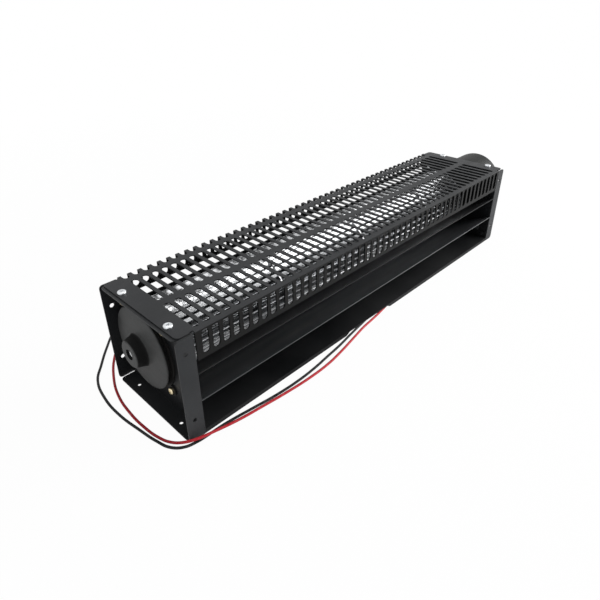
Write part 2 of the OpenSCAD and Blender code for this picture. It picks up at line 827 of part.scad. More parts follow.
module motor_collar() {
    ear_w = brass_head_d + 2;
    ear_l = collar_screw_gap - collar_t / 2;
    color("#1b1b1d") on_axis(far_web_out) difference() {
        union() {
            cylinder(r = motor_r + collar_t, h = collar_l, $fn = 96);
            on_diagonals(collar_pcd) cylinder(d = ear_w, h = collar_ear_t);
            on_diagonals(collar_pcd) translate([-ear_l, -ear_w / 2, 0]) cube([ear_l, ear_w, collar_ear_t]);
        }
        translate([0, 0, -cut]) cylinder(r = motor_r, h = collar_l + 2 * cut, $fn = 96);
        on_diagonals(collar_pcd) translate([0, 0, -cut])
            cylinder(d = brass_thread_d + 2 * hole_clear, h = collar_ear_t + 2 * cut);
    }
}

// These screws end flush with the web's inner face
module collar_screws() {
    color("#d4d8dc") on_axis(far_web_out + collar_ear_t) on_diagonals(collar_pcd)
        pan_screw(brass_head_d, brass_head_h, brass_thread_d, collar_ear_t + sheet_t);
}

grommet_r = 5.2;

// Children with local Z pointing out of the motor through the grommet, at the axis
module towards_grommet() {
    translate([lead_x, axis_y, axis_z]) rotate([-90 + lead_angle, 0, 0]) children();
}

module motor_can() {
    color("#2c2d2e") difference() {
        union() {
            ring(can_x0, can_x1, motor_r, can_in_r, $fn = 96);
            ring(can_x0, can_x0 + can_t, motor_r, bush_r);
            ring(can_x0, can_x0 + bush_l, bush_r + 3, bush_r);
        }
        on_axis(can_x0 - cut) bolt_places() cylinder(r = bolt_r + hole_clear, h = can_t + 2 * cut);
        towards_grommet() cylinder(r = grommet_r, h = motor_r + cut);
    }
}

module motor_end_cap() {
    e = cap_edge_r;
    floor_x = cap_l - can_t;
    inner = motor_r - 6.5;
    rim = [for (i = [0:6]) [motor_r - e, cap_l - e] + polar(e, 15 * i)];
    color("#2c2d2e") on_axis(can_x1) difference() {
        rotate_extrude($fn = 96) polygon(concat([[motor_r, 0]], rim, [[0, cap_l], [0, floor_x],
            [bush_r, floor_x], [bush_r, floor_x - bush_l + 3], [bush_r + 3, floor_x - bush_l + 3],
            [bush_r + 3, floor_x], [inner - 5, floor_x], [inner, floor_x - 5], [inner, 0]]));
        bolt_places() translate([0, 0, -cut]) cylinder(r = bolt_r + hole_clear, h = cap_l + 2 * cut);
    }
}

module motor_bolts() {
    head_h = 2.5;
    length = motor_end - can_x0;
    color("#b9bcc0") on_axis(motor_end) bolt_places()
        pan_screw(motor_bolt_d * 1.9, head_h, motor_bolt_d, length);
}

module motor_magnets() {
    span = 62;
    reach = 2 * motor_r;
    over = 3;
    wedge = [[0, 0], polar(reach, -span), [reach, -reach / 2], [reach, reach / 2], polar(reach, span)];
    color("#3b3a3c") for (turn = [0, 180])
        on_axis(core_x0 - over) linear_extrude(core_l + 2 * over) rotate(turn) intersection() {
            difference() {
                circle(r = can_in_r, $fn = 96);
                circle(r = can_in_r - magnet_t, $fn = 96);
            }
            polygon(wedge);
        }
}

module front_bush() {
    color("#b08d57") ring(can_x0, can_x0 + bush_l, bush_r, shaft_r + run_clear);
}

module rear_bush() {
    x1 = motor_end - can_t;
    color("#b08d57") ring(x1 - bush_l + 3, x1, bush_r, shaft_r + run_clear);
}

module motor_shaft() {
    color("#d9dcdf") round_bar(wheel_x1 - disc_t - boss_l + 1, motor_end - can_t - 0.5, shaft_r);
}

slot_r = 2.5;
slot_at = core_d / 2 - 7.3;

module armature_core() {
    color("#6d7074") on_axis(core_x0) linear_extrude(core_l) difference() {
        circle(d = core_d, $fn = 96);
        circle(r = shaft_r);
        for (i = [0:core_slots - 1]) rotate(360 * i / core_slots) {
            translate([slot_at, 0]) circle(r = slot_r, $fn = 24);
            translate([slot_at, -0.8]) square([core_d / 2, 1.6]);
        }
    }
}

module armature_winding() {
    r0 = shaft_r + 4;
    r1 = slot_at + slot_r;
    color("#b5651d") union() {
        ring(core_x0 - winding_over, core_x0, r1, r0);
        ring(core_x1, core_x1 + winding_over, r1, r0);
        for (i = [0:core_slots - 1])
            on_axis(core_x0 - 1) rotate([0, 0, 360 * i / core_slots]) translate([slot_at, 0, 0])
                cylinder(r = slot_r - hole_clear, h = core_l + 2, $fn = 24);
    }
}

module commutator() {
    color("#b87333") on_axis(commutator_x0) linear_extrude(commutator_l) difference() {
        circle(d = commutator_d);
        circle(r = shaft_r);
        for (i = [0:core_slots - 1]) rotate(360 * i / core_slots + 15)
            translate([commutator_d / 2 - 1.2, -0.3]) square([2.4, 0.6]);
    }
}

module brush_plate() {
    color("#7a4a24") on_axis(plate_x0) difference() {
        cylinder(r = can_in_r - hole_clear, h = plate_t);
        translate([0, 0, -cut]) cylinder(d = commutator_d + 3, h = plate_t + 2 * cut);
        bolt_places() translate([0, 0, -cut]) cylinder(r = bolt_r + 0.5, h = plate_t + 2 * cut);
    }
}

brush_r0 = commutator_d / 2 + run_clear;
brush_l = 11;
brush_shown = 2;
holder_wall = 1;
spring_l = 3;

// Children with local X pointing out along each brush
module at_brushes() {
    on_axis(brush_x) for (a = [0, 180]) rotate([0, 0, a]) children();
}

module brush_holders() {
    w = brush_w + 2 * hole_clear + 2 * holder_wall;
    h = plate_x0 - brush_x + brush_x_l / 2 + hole_clear + holder_wall;
    hole_w = brush_w + 2 * hole_clear;
    hole_h = brush_x_l + 2 * hole_clear;
    length = brush_l + spring_l - brush_shown;
    x0 = brush_r0 + brush_shown;
    color("#c9a860") at_brushes() difference() {
        translate([x0, -w / 2, -hole_h / 2 - holder_wall]) cube([length + holder_wall, w, h]);
        translate([x0 - cut, -hole_w / 2, -hole_h / 2]) cube([length + cut, hole_w, hole_h]);
    }
}

module carbon_brushes() {
    color("#2b2b2d") at_brushes()
        translate([brush_r0, -brush_w / 2, -brush_x_l / 2]) cube([brush_l, brush_w, brush_x_l]);
}

module brush_springs() {
    color("#d9dcdf") at_brushes() translate([brush_r0 + brush_l, 0, 0]) rotate([0, 90, 0])
        cylinder(d = brush_w - 1, h = spring_l);
}

terminal_r = can_in_r - 9;

// Flat tabs on the brush plate on which the leads end, one on each side of the grommet's line
module brush_terminals() {
    x0 = -4;
    color("#c9a860") towards_grommet() for (side = [-1, 1])
        translate([x0, side * lead_gap / 2 - 1.6, terminal_r - 1])
            cube([plate_x0 - lead_x - x0, 3.2, 1]);
}

module lead_grommet() {
    color("#161616") towards_grommet() difference() {
        union() {
            translate([0, 0, can_in_r - 1]) cylinder(r = grommet_r, h = can_t + 3);
            translate([0, 0, motor_r]) cylinder(r = grommet_r + 1.4, h = 1.6);
        }
        for (side = [-1, 1]) translate([0, side * lead_gap / 2, 0])
            cylinder(d = lead_d + 2 * hole_clear, h = motor_r + 5);
    }
}

// ---- Leads ----

// Place on a lead's way out of the motor: distance from the axis, and side of the grommet's line
function lead_exit(side, r) = [lead_x, axis_y, axis_z]
    + r * [0, cos(lead_angle), sin(lead_angle)]
    + side * lead_gap / 2 * [0, -sin(lead_angle), cos(lead_angle)];

// Where a lead lies on the ground, its height is its own radius
ground = lead_d / 2;

// From the motor down behind the far end plate, under the casing, out at the front,
// round the near end and back behind the casing
red_points = [lead_exit(-1, terminal_r), lead_exit(-1, motor_r + 3), lead_exit(-1, motor_r + 12),
    [332, 68, 20], [327, 77, 9], [316, 84, 3], [300, 86, ground], [272, 83, ground], [242, 76, ground],
    [212, 64, ground], [182, 46, ground], [153, 24, ground], [124, -2, ground], [94, -25.5, ground],
    [62, -43, ground], [30, -53, ground], [0, -59, ground], [-24, -62.5, 1.6], [-42, -65.5, 3],
    [-68, -71.3, 4.6], [-96, -76.8, 5], [-120, -80, 5], [-148, -80.6, 5], [-176, -78.9, 5],
    [-204, -75.9, 5], [-231, -72.6, 5], [-254, -67.9, 5], [-270, -63.8, 5], [-280, -58.2, 4.4],
    [-286.6, -48.6, 2.4], [-290.6, -36, 1.5], [-293, -17, ground], [-293, 8, ground],
    [-289.2, 36, ground], [-280, 62, ground], [-262, 93, ground], [-240, 117, ground],
    [-214, 127, ground], [-192, 130, ground]];

black_points = [lead_exit(1, terminal_r), lead_exit(1, motor_r + 3), lead_exit(1, motor_r + 12),
    [334, 73, 23], [331, 84, 11], [320, 91, 3.5], [302, 93, ground], [270, 90, ground],
    [238, 83, ground], [206, 70, ground], [174, 50, ground], [143, 25, ground], [112, -2, ground],
    [80, -24.5, ground], [46, -41, ground], [12, -50.5, ground], [-28, -57, ground],
    [-60, -61.9, ground], [-84, -66, ground], [-107, -68.7, ground], [-130, -71.4, ground],
    [-155, -72.6, ground], [-184, -71.4, ground], [-213, -67.9, ground], [-240, -64.8, ground],
    [-256, -64.2, ground], [-270, -63.4, ground], [-281, -60.4, ground], [-289.4, -52.4, ground],
    [-294, -38, ground], [-297.5, -17, ground], [-301, 12, ground], [-300, 42, ground],
    [-292.5, 71, ground], [-279.5, 89, ground], [-262, 111, ground], [-240, 134, ground],
    [-220, 145, ground], [-196, 151, ground]];

function cross_unit(a, b) = unit(cross(a, b));

// Direction of the route at point i
function heading(p, i) = unit(p[min(i + 1, len(p) - 1)] - p[max(i - 1, 0)]);

// Side direction of a ring, kept level where the route is not upright
function level_side(t) = abs(t[2]) > 0.95 ? cross_unit(t, [0, 1, 0]) : cross_unit(t, [0, 0, 1]);

lead_sides = 8;

// Tube along points, as one closed solid of radius r
module tube(p, r) {
    n = lead_sides;
    last = len(p) - 1;
    rings = [for (i = [0:last]) let (t = heading(p, i), s = level_side(t), u = cross(s, t))
        for (k = [0:n - 1]) p[i] + r * (cos(360 * k / n) * s + sin(360 * k / n) * u)];
    walls = [for (i = [0:last - 1]) for (k = [0:n - 1]) let (a = i * n + k, b = i * n + (k + 1) % n)
        each [[a, b, a + n], [b, b + n, a + n]]];
    start_cap = [for (k = [1:n - 2]) [0, k + 1, k]];
    end_cap = [for (k = [1:n - 2]) [last * n, last * n + k, last * n + k + 1]];
    polyhedron(rings, concat(walls, start_cap, end_cap));
}

module red_lead() {
    color("#c0242c") tube(red_points, lead_d / 2);
}

module black_lead() {
    color("#17191b") tube(black_points, lead_d / 2);
}

module bare_end(p) {
    last = len(p) - 1;
    way = unit(p[last] - p[last - 1]);
    translate(p[last]) rotate([0, 90, atan2(way[1], way[0])]) cylinder(d = lead_d * 0.6, h = bare_l);
}

module lead_ends() {
    color("#c9ccd0") {
        bare_end(red_points);
        bare_end(black_points);
    }
}

near_end_plate();
far_end_plate();
grille_cover();
base_and_back_wall();
scroll_sheet();
tongue_sheet();
shell_rivets();
cover_screws();
bearing_bracket();
bearing_dish();
bracket_screws();
bearing_outer_race();
bearing_inner_race();
bearing_balls();
stub_shaft();
wheel_near_disc();
wheel_middle_discs();
wheel_far_disc();
wheel_blades_1();
wheel_blades_2();
wheel_blades_3();
wheel_blades_4();
hub_grub_screw();
motor_collar();
collar_screws();
motor_can();
motor_end_cap();
motor_bolts();
motor_magnets();
front_bush();
rear_bush();
motor_shaft();
armature_core();
armature_winding();
commutator();
brush_plate();
brush_holders();
carbon_brushes();
brush_springs();
brush_terminals();
lead_grommet();
red_lead();
black_lead();
lead_ends();
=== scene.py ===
import math

import bmesh
import bpy
from mathutils import Matrix, Vector


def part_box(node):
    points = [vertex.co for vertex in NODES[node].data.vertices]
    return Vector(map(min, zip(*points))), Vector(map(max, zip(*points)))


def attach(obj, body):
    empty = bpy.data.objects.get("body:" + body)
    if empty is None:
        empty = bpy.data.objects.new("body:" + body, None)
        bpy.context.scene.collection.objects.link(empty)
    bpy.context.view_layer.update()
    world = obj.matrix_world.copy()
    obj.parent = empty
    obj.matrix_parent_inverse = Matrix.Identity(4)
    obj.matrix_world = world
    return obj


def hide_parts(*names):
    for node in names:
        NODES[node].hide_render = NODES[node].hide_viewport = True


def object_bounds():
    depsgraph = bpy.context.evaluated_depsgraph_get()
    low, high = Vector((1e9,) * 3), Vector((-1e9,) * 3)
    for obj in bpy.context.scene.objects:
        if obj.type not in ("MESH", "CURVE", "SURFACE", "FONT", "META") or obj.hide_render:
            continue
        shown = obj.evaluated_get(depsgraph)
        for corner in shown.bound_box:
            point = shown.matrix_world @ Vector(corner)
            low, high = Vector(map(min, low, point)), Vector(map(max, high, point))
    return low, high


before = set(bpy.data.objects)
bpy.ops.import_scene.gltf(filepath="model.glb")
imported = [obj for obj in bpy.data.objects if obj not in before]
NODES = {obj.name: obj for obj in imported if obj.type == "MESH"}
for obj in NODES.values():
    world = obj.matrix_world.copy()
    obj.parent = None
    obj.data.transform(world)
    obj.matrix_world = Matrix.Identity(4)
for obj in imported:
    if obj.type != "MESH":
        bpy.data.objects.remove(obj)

# Cross-flow fan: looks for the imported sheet-metal casing, bladed wheel, motor and supply leads.
# The script is laid out as an add-on and is run as a script. Lengths are in metres, in the part's
# own frame: X along the wheel, -Y the outlet side, Z up.

bl_info = {
    "name": "Cross-flow fan",
    "version": (1, 0, 0),
    "blender": (4, 5, 0),
    "location": "3D View > Sidebar > Fan",
    "description": "Sheets, screws, leads and finishes of a cross-flow fan, round its CAD solids",
    "category": "Object",
}

CAD_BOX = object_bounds()
AXIS = (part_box("motor_shaft")[0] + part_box("motor_shaft")[1]) / 2
# How far the dish's hub and the stub shaft's end are brought out beyond the CAD's
HUB_REACH = 0.0027
SHAFT_REACH = 0.0019
# Sizes of the hub's face and of its hole, as shares of the CAD's
HUB_TAPER = 0.95
HUB_HOLE = 1.32
# Radii of that face, of the hub's root and of its hole, and one just over the hole in the CAD
HUB_TIP_R = 0.0136
HUB_ROOT_R = 0.0161
HUB_HOLE_R = 0.0053
CAD_HOLE_R = 0.0044
# Radius within which the blades are duller and painted dark, as painted shade
BLADE_SHADE_R = 0.0352
# Inner faces of the two end plates' webs, along X
WEB_IN = (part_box("scroll_sheet")[0].x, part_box("scroll_sheet")[1].x)
# Heights of the folds of the outlet's two lips and of the base plate's top, and their bends' radius
LOWER_LIP = 0.0383
UPPER_LIP = 0.0657
BASE_TOP = 0.0047
LIP_BEND_R = 0.0009
# Outer face of the casing's back
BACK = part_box("near_end_plate")[1].y
# How far the floor lies below the CAD's lowest point
FLOOR_GAP = 0.0002
# Height of the foot of the base plate's front lip, and that lip's thickness
FOOT_GAP = 0.0001
BASE_LIP_T = 0.002
# Stretch along X, and height, of the relief in that lip where the leads come out
LEAD_RELIEF = (-0.060, 0.011)
LEAD_RELIEF_TOP = 0.0031
# Height of the heads of all the cross-recessed screws
HEAD_H = 0.0024
# Vertices nearer than this are one. Faces that meet at less than the first angle are made one,
# edges sharper than the second are rounded, and those blunter than the third are shaded smooth.
MERGE_GAP = 0.000003
FLAT_ANGLE = math.radians(0.3)
CORNER_ANGLE = math.radians(32)
SMOOTH_ANGLE = math.radians(38)


# ---- Settings ----

class FanSheetSettings(bpy.types.PropertyGroup):
    coat_colour: bpy.props.FloatVectorProperty(
        name="Coat colour", description="Colour of the powder coat on the casing",
        subtype="COLOR", size=3, min=0, max=1, default=(0.0165, 0.0178, 0.0195))
    # Paler than the casing's coat colour: painted light on the cover.
    cover_colour: bpy.props.FloatVectorProperty(
        name="Cover colour", description="Colour of the powder coat on the inlet cover",
        subtype="COLOR", size=3, min=0, max=1, default=(0.0195, 0.0206, 0.0223))
    edge_radius: bpy.props.FloatProperty(
        name="Edge radius", description="Rounding of the cut edges under the coat",
        subtype="DISTANCE", unit="LENGTH", min=0.0001, max=0.0005, default=0.00028)
    bend_radius: bpy.props.FloatProperty(
        name="Bend radius", description="Outer radius of the folded corners",
        subtype="DISTANCE", unit="LENGTH", min=0.0004, max=0.0012, default=0.0011)


class FanLeadSettings(bpy.types.PropertyGroup):
    diameter: bpy.props.FloatProperty(
        name="Diameter", description="Diameter of each lead over its insulation",
        subtype="DISTANCE", unit="LENGTH", min=0.002, max=0.003, default=0.0026)
    bare_length: bpy.props.FloatProperty(
        name="Bare length", description="Length of the tinned strands at a lead's end",
        subtype="DISTANCE", unit="LENGTH", min=0.004, max=0.012, default=0.007)
    red_colour: bpy.props.FloatVectorProperty(
        name="Red", description="Colour of the red insulation",
        subtype="COLOR", size=3, min=0, max=1, default=(0.48, 0.016, 0.026))
    black_colour: bpy.props.FloatVectorProperty(
        name="Black", description="Colour of the black insulation",
        subtype="COLOR", size=3, min=0, max=1, default=(0.006, 0.0065, 0.0075))


class FanMetalSettings(bpy.types.PropertyGroup):
    wheel_colour: bpy.props.FloatVectorProperty(
        name="Wheel", description="Colour of the wheel's aluminium",
        subtype="COLOR", size=3, min=0, max=1, default=(0.65, 0.66, 0.675))
    zinc_colour: bpy.props.FloatVectorProperty(
        name="Zinc", description="Colour of the plated screws",
        subtype="COLOR", size=3, min=0, max=1, default=(0.74, 0.76, 0.78))
    brass_colour: bpy.props.FloatVectorProperty(
        name="Brass", description="Colour of the brass screws",
        subtype="COLOR", size=3, min=0, max=1, default=(0.88, 0.76, 0.50))
    recess_depth: bpy.props.FloatProperty(
        name="Recess depth", description="Depth of the cross recess in a cover screw",
        subtype="DISTANCE", unit="LENGTH", min=0.0008, max=0.002, default=0.0017)


class FanStageSettings(bpy.types.PropertyGroup):
    floor_size: bpy.props.FloatProperty(
        name="Floor size", description="Width of the pale floor",
        subtype="DISTANCE", unit="LENGTH", min=4, max=60, default=30)
    lens: bpy.props.FloatProperty(
        name="Lens", description="Focal length of the camera for a 36 mm sensor",
        unit="CAMERA", min=20, max=80, default=30.594)
    key_power: bpy.props.FloatProperty(
        name="Key light", description="Power of the main soft light",
        unit="POWER", min=0, max=200, default=58)
    fill_power: bpy.props.FloatProperty(
        name="Fill light", description="Power of the soft light on the near end's side",
        unit="POWER", min=0, max=200, default=4.1)
    top_power: bpy.props.FloatProperty(
        name="Top light", description="Power of the soft light overhead",
        unit="POWER", min=0, max=200, default=5)


# ---- Shader maths ----

class Value:
    """One output of a material's node; arithmetic on it adds Math nodes."""

    def __init__(self, finish, socket):
        self.finish = finish
        self.socket = socket

    def _math(self, operation, first, second):
        return self.finish.node("ShaderNodeMath", {"operation": operation}, {0: first, 1: second})

    def __add__(self, other):
        return self._math("ADD", self, other)

    def __radd__(self, other):
        return self._math("ADD", other, self)

    def __sub__(self, other):
        return self._math("SUBTRACT", self, other)

    def __rsub__(self, other):
        return self._math("SUBTRACT", other, self)

    def __mul__(self, other):
        return self._math("MULTIPLY", self, other)

    def __rmul__(self, other):
        return self._math("MULTIPLY", other, self)


class Graph:
    """An emptied node tree; every node of it comes from one method."""

    def __init__(self, tree):
        self.tree = tree
        self.tree.nodes.clear()

    def node(self, kind, settings=None, inputs=None, output=0):
        """Adds a node: its settings first, then the values or links of its inputs."""
        node = self.tree.nodes.new(kind)
        for key, value in (settings or {}).items():
            setattr(node, key, value)
        for key, value in (inputs or {}).items():
            if isinstance(value, Value):
                self.tree.links.new(value.socket, node.inputs[key])
            else:
                node.inputs[key].default_value = value
        return Value(self, node.outputs[output]) if len(node.outputs) else None

    def all_outputs(self, kind, inputs=None):
        """A node's outputs by their names."""
        node = self.node(kind, None, inputs).socket.node
        return {socket.name: Value(self, socket) for socket in node.outputs}

    def end(self, kind, surface):
        self.node(kind, None, {"Surface": surface})

    def mixed(self, share, under, over):
        """A shader over another by a share."""
        return self.node("ShaderNodeMixShader", None, {0: share, 1: under, 2: over})

    def seen_directly(self):
        """1 for the camera's own rays and for mirrored and transmitted ones, 0 for the others."""
        path = self.all_outputs("ShaderNodeLightPath")
        return path["Is Camera Ray"] + path["Is Glossy Ray"] + path["Is Transmission Ray"]


class Finish(Graph):
    """A node material for one of the fan's finishes, on Object coordinates."""

    def __init__(self, name, **constants):
        self.material = bpy.data.materials.new(name)
        self.material.use_nodes = True
        super().__init__(self.material.node_tree)
        self.surface = self.node("ShaderNodeBsdfPrincipled")
        self.shader = self.surface.socket.node
        for socket, value in constants.items():
            self.set(socket.replace("_", " "), value)
        self.place = self.node("ShaderNodeTexCoord", output="Object")

    def set(self, socket, value):
        """Sets or links an input of the surface shader."""
        target = self.shader.inputs[socket]
        if isinstance(value, Value):
            self.tree.links.new(value.socket, target)
        elif hasattr(value, "__len__") and len(value) == 3:
            target.default_value = (*value, 1)
        else:
            target.default_value = value

    def stretched(self, scale, centre=(0, 0, 0), turn=(0, 0, 0)):
        """Object coordinates, moved, turned and stretched."""
        inputs = {"Vector": self.place, "Location": centre, "Rotation": turn, "Scale": scale}
        return self.node("ShaderNodeMapping", None, inputs)

    def noise(self, scale, detail, roughness, place=None):
        return self.node("ShaderNodeTexNoise", None,
                         {"Vector": place or self.place, "Scale": scale, "Detail": detail,
                          "Roughness": roughness}, "Fac")

    def range(self, value, low, high, to_low=0.0, to_high=1.0):
        """A value's span between low and high, taken to another span."""
        return self.node("ShaderNodeMapRange", {"clamp": True},
                         {"Value": value, "From Min": low, "From Max": high,
                          "To Min": to_low, "To Max": to_high})

    def blend(self, mask, under, over):
        """Colour under, with colour over where the mask is 1."""
        under = under if isinstance(under, Value) else (*under, 1)
        over = over if isinstance(over, Value) else (*over, 1)
        return self.node("ShaderNodeMix", {"data_type": "RGBA"}, {0: mask, 6: under, 7: over}, 2)

    def distance(self, *offsets):
        """Distance of a point from a place or a line: offsets along two or three axes."""
        total = sum(offset * offset for offset in offsets)
        return self.node("ShaderNodeMath", {"operation": "SQRT"}, {0: total})

    def axes(self):
        """Object coordinates as three values."""
        return list(self.all_outputs("ShaderNodeSeparateXYZ", {0: self.place}).values())

    def bumped(self, height, depth, strength):
        """The finished material, with a fine relief depth metres high."""
        self.set("Normal", self.node("ShaderNodeBump", None,
                                     {"Height": height, "Distance": depth, "Strength": strength}))
        self.end("ShaderNodeOutputMaterial", self.surface)
        return self.material


def paler(colour, by):
    """A colour, part of the way to white."""
    return tuple(min(1, c + (1 - c) * by) for c in colour)


def darker(colour, by):
    """A colour, part of the way to black."""
    return tuple(c * (1 - by) for c in colour)


# ---- Finishes ----

def powder_coat(name, colour, gloss, shine=0.16, joint_z=None, outside_colour=None, tray=None):
    """Fine-textured satin powder coat with faint handling marks and dust; painted shade, near-black,
    below just over height joint_z, where a sheet lies on another; its own colour on the casing's
    back; and painted shade, darker, on the faces inside the flanges of a tray with the given box."""
    f = Finish(name, Specular_IOR_Level=shine)
    grain = f.noise(1500, 2, 0.6)
    peel = f.noise(420, 1, 0.4)
    cloud = f.noise(9, 3, 0.55)
    smear = f.noise(1.0, 4, 0.6, f.stretched((14, 60, 60)))
    dust = f.range(f.noise(2600, 0, 0.5), 0.70, 0.78)
    tone = f.range(cloud, 0.35, 0.65)
    base = f.blend(tone, darker(colour, 0.10), paler(colour, 0.012))
    coat = f.blend(dust * 0.35, base, paler(colour, 0.07))
    # Painted shade: near-black below just over joint_z, where this sheet lies on the plates.
    if joint_z:
        seam_shade = f.range(f.axes()[2], joint_z + 0.0002, joint_z + 0.0005, 1, 0)
        coat = f.blend(seam_shade, coat, (0.001, 0.001, 0.001))
    if outside_colour:
        outside = f.range(f.axes()[1], BACK - 0.0008, BACK - 0.0003)
        coat = f.blend(outside, coat, outside_colour)
    # Painted shade: half as dark on the recessed faces inside a tray's flanges.
    if tray:
        recess_shade = 1.0
        outer, inner = 0.0011, 0.0014
        for place, low, high in zip(f.axes()[1:], tray[0][1:], tray[1][1:]):
            recess_shade = (f.range(place, low + outer, low + inner)
                       * f.range(place, high - outer, high - inner) * recess_shade)
        coat = f.blend(recess_shade, coat, darker(colour, 0.5))
    f.set("Base Color", coat)
    rough = f.range(smear, 0.35, 0.7, gloss - 0.04, gloss + 0.07)
    f.set("Roughness", rough + (grain - 0.5) * 0.10)
    return f.bumped(grain * 0.55 + peel * 0.45, 0.00005, 0.7)


def rolled_aluminium(name, colour, inner_r=None):
    """Bright rolled sheet: fine streaks along the wheel and a faint haze, and inside radius
    inner_r painted shade: the inner half of a blade is painted dark and made duller."""
    f = Finish(name, Metallic=1.0)
    streaks = f.noise(1.0, 3, 0.6, f.stretched((18, 1600, 1600)))
    haze = f.noise(30, 3, 0.5)
    marks = f.range(f.noise(160, 2, 0.6), 0.62, 0.75)
    metal = f.blend(f.range(haze, 0.35, 0.7) * 0.6, colour, darker(colour, 0.12))
    rough = f.range(streaks, 0.3, 0.7, 0.15, 0.28) + marks * 0.06
    # Painted shade: the inner half of each blade darkened towards the axis.
    if inner_r:
        y, z = f.axes()[1:]
        blade_shade = f.range(f.distance(y - AXIS.y, z - AXIS.z) + (haze - 0.5) * 0.0008,
                       inner_r + 0.0014, inner_r, 0, 0.15)
        metal = f.blend(blade_shade, metal, darker(colour, 0.97))
        rough = rough + blade_shade * 0.25
    f.set("Base Color", metal)
    f.set("Roughness", rough)
    return f.bumped(streaks, 0.000012, 0.1)


def turned_metal(name, colour, rough):
    """Plated or plain metal: fine turning lines round X, haze and small stains."""
    f = Finish(name, Metallic=1.0)
    lines = f.noise(1.0, 2, 0.6, f.stretched((2600, 300, 300)))
    haze = f.noise(260, 2, 0.5)
    stain = f.range(f.noise(70, 2, 0.5), 0.5, 0.72)
    body = f.blend(f.range(haze, 0.35, 0.7), colour, darker(colour, 0.18))
    f.set("Base Color", f.blend(stain * 0.35, body, darker(colour, 0.3)))
    f.set("Roughness", f.range(haze, 0.3, 0.7, rough - 0.04, rough + 0.08) + (lines - 0.5) * 0.05)
    return f.bumped(lines, 0.000006, 0.25)


def moulded_dish(name, colour, hub_black_and_shade_colour):
    """Grey moulding with a fine spark-eroded grain; black on its hub's side and in the hub's hole,
    partly black rubber and partly painted shade.
    """
    f = Finish(name, Specular_IOR_Level=0.11)
    grain = f.noise(2200, 1, 0.5)
    flow = f.noise(1.0, 3, 0.55, f.stretched((60, 26, 90), turn=(0.6, 0.3, 0.2)))
    speck = f.range(f.noise(1700, 0, 0.5), 0.70, 0.8)
    body = f.blend(f.range(flow, 0.35, 0.68), darker(colour, 0.12), paler(colour, 0.02))
    body = f.blend(speck * 0.4, body, paler(colour, 0.12))
    y, z = f.axes()[1:]
    radius = f.distance(y - AXIS.y, z - AXIS.z)
    # Painted shade, partly black rubber: the hub's side and its hole are painted black.
    hub_black_and_shade = (f.range(radius, HUB_TIP_R - 0.0006, HUB_TIP_R - 0.0003)
              * f.range(radius, HUB_ROOT_R + 0.0006, HUB_ROOT_R - 0.0002)
              + f.range(radius, HUB_HOLE_R + 0.0002, HUB_HOLE_R))
    f.set("Base Color", f.blend(hub_black_and_shade, body, hub_black_and_shade_colour))
    f.set("Roughness", f.range(flow, 0.3, 0.7, 0.45, 0.56) + (grain - 0.5) * 0.08)
    return f.bumped(grain, 0.00005, 0.6)


def insulation(name, colour):
    """Smooth extruded insulation, a little dusty, with faint scuffs."""
    f = Finish(name, Specular_IOR_Level=0.12)
    waves = f.noise(240, 2, 0.5)
    scuff = f.range(f.noise(1.0, 3, 0.6, f.stretched((190, 190, 520))), 0.55, 0.75)
    body = f.blend(f.range(waves, 0.35, 0.7), darker(colour, 0.10), paler(colour, 0.03))
    f.set("Base Color", f.blend(scuff * 0.3, body, paler(colour, 0.05)))
    f.set("Roughness", f.range(waves, 0.3, 0.7, 0.37, 0.50) + scuff * 0.12)
    return f.bumped(waves, 0.00004, 0.5)


def stove_paint(name, colour):
    """Smooth semi-gloss paint with a slight orange peel."""
    f = Finish(name, Specular_IOR_Level=0.05)
    peel = f.noise(300, 2, 0.5)
    cloud = f.noise(14, 3, 0.5)
    scratch = f.range(f.noise(1.0, 2, 0.5, f.stretched((40, 900, 900))), 0.66, 0.72)
    body = f.blend(f.range(cloud, 0.35, 0.65), darker(colour, 0.12), paler(colour, 0.015))
    f.set("Base Color", f.blend(scratch * 0.25, body, paler(colour, 0.08)))
    f.set("Roughness", f.range(cloud, 0.3, 0.7, 0.32, 0.42) + scratch * 0.06)
    return f.bumped(peel, 0.00005, 0.6)


def laminated_steel(name, colour):
    """Stack of thin steel sheets along X, with a blued tint."""
    f = Finish(name, Metallic=1.0)
    stack = f.node("ShaderNodeTexWave", {"wave_type": "BANDS", "bands_direction": "X"},
                   {"Vector": f.place, "Scale": 320.0, "Distortion": 0.4, "Detail": 1.0}, "Fac")
    tone = f.noise(120, 2, 0.5)
    f.set("Base Color", f.blend(f.range(stack, 0.1, 0.5), darker(colour, 0.45), colour))
    f.set("Roughness", f.range(tone, 0.3, 0.7, 0.38, 0.52))
    return f.bumped(stack, 0.00008, 0.7)


def wound_copper(name, colour):
    """Enamelled wire laid side by side."""
    f = Finish(name, Metallic=0.85, Coat_Weight=0.5, Coat_Roughness=0.15)
    turns = f.node("ShaderNodeTexWave", {"wave_type": "RINGS", "rings_direction": "X"},
                   {"Vector": f.stretched((1, 1, 1), centre=(-AXIS.x, -AXIS.y, -AXIS.z)),
                    "Scale": 190.0, "Distortion": 1.5, "Detail": 2.0}, "Fac")
    tone = f.noise(90, 2, 0.5)
    f.set("Base Color", f.blend(f.range(turns, 0.1, 0.55), darker(colour, 0.5), colour))
    f.set("Roughness", f.range(tone, 0.3, 0.7, 0.25, 0.4))
    return f.bumped(turns, 0.00018, 0.8)


def segmented_copper(name, colour):
    """Commutator bars: turned copper, darkened by the brushes."""
    f = Finish(name, Metallic=1.0)
    lines = f.noise(1.0, 2, 0.5, f.stretched((3400, 60, 60)))
    patina = f.noise(150, 3, 0.5)
    f.set("Base Color", f.blend(f.range(patina, 0.35, 0.65), colour, darker(colour, 0.4)))
    f.set("Roughness", f.range(lines, 0.3, 0.7, 0.25, 0.42))
    return f.bumped(lines, 0.00003, 0.6)


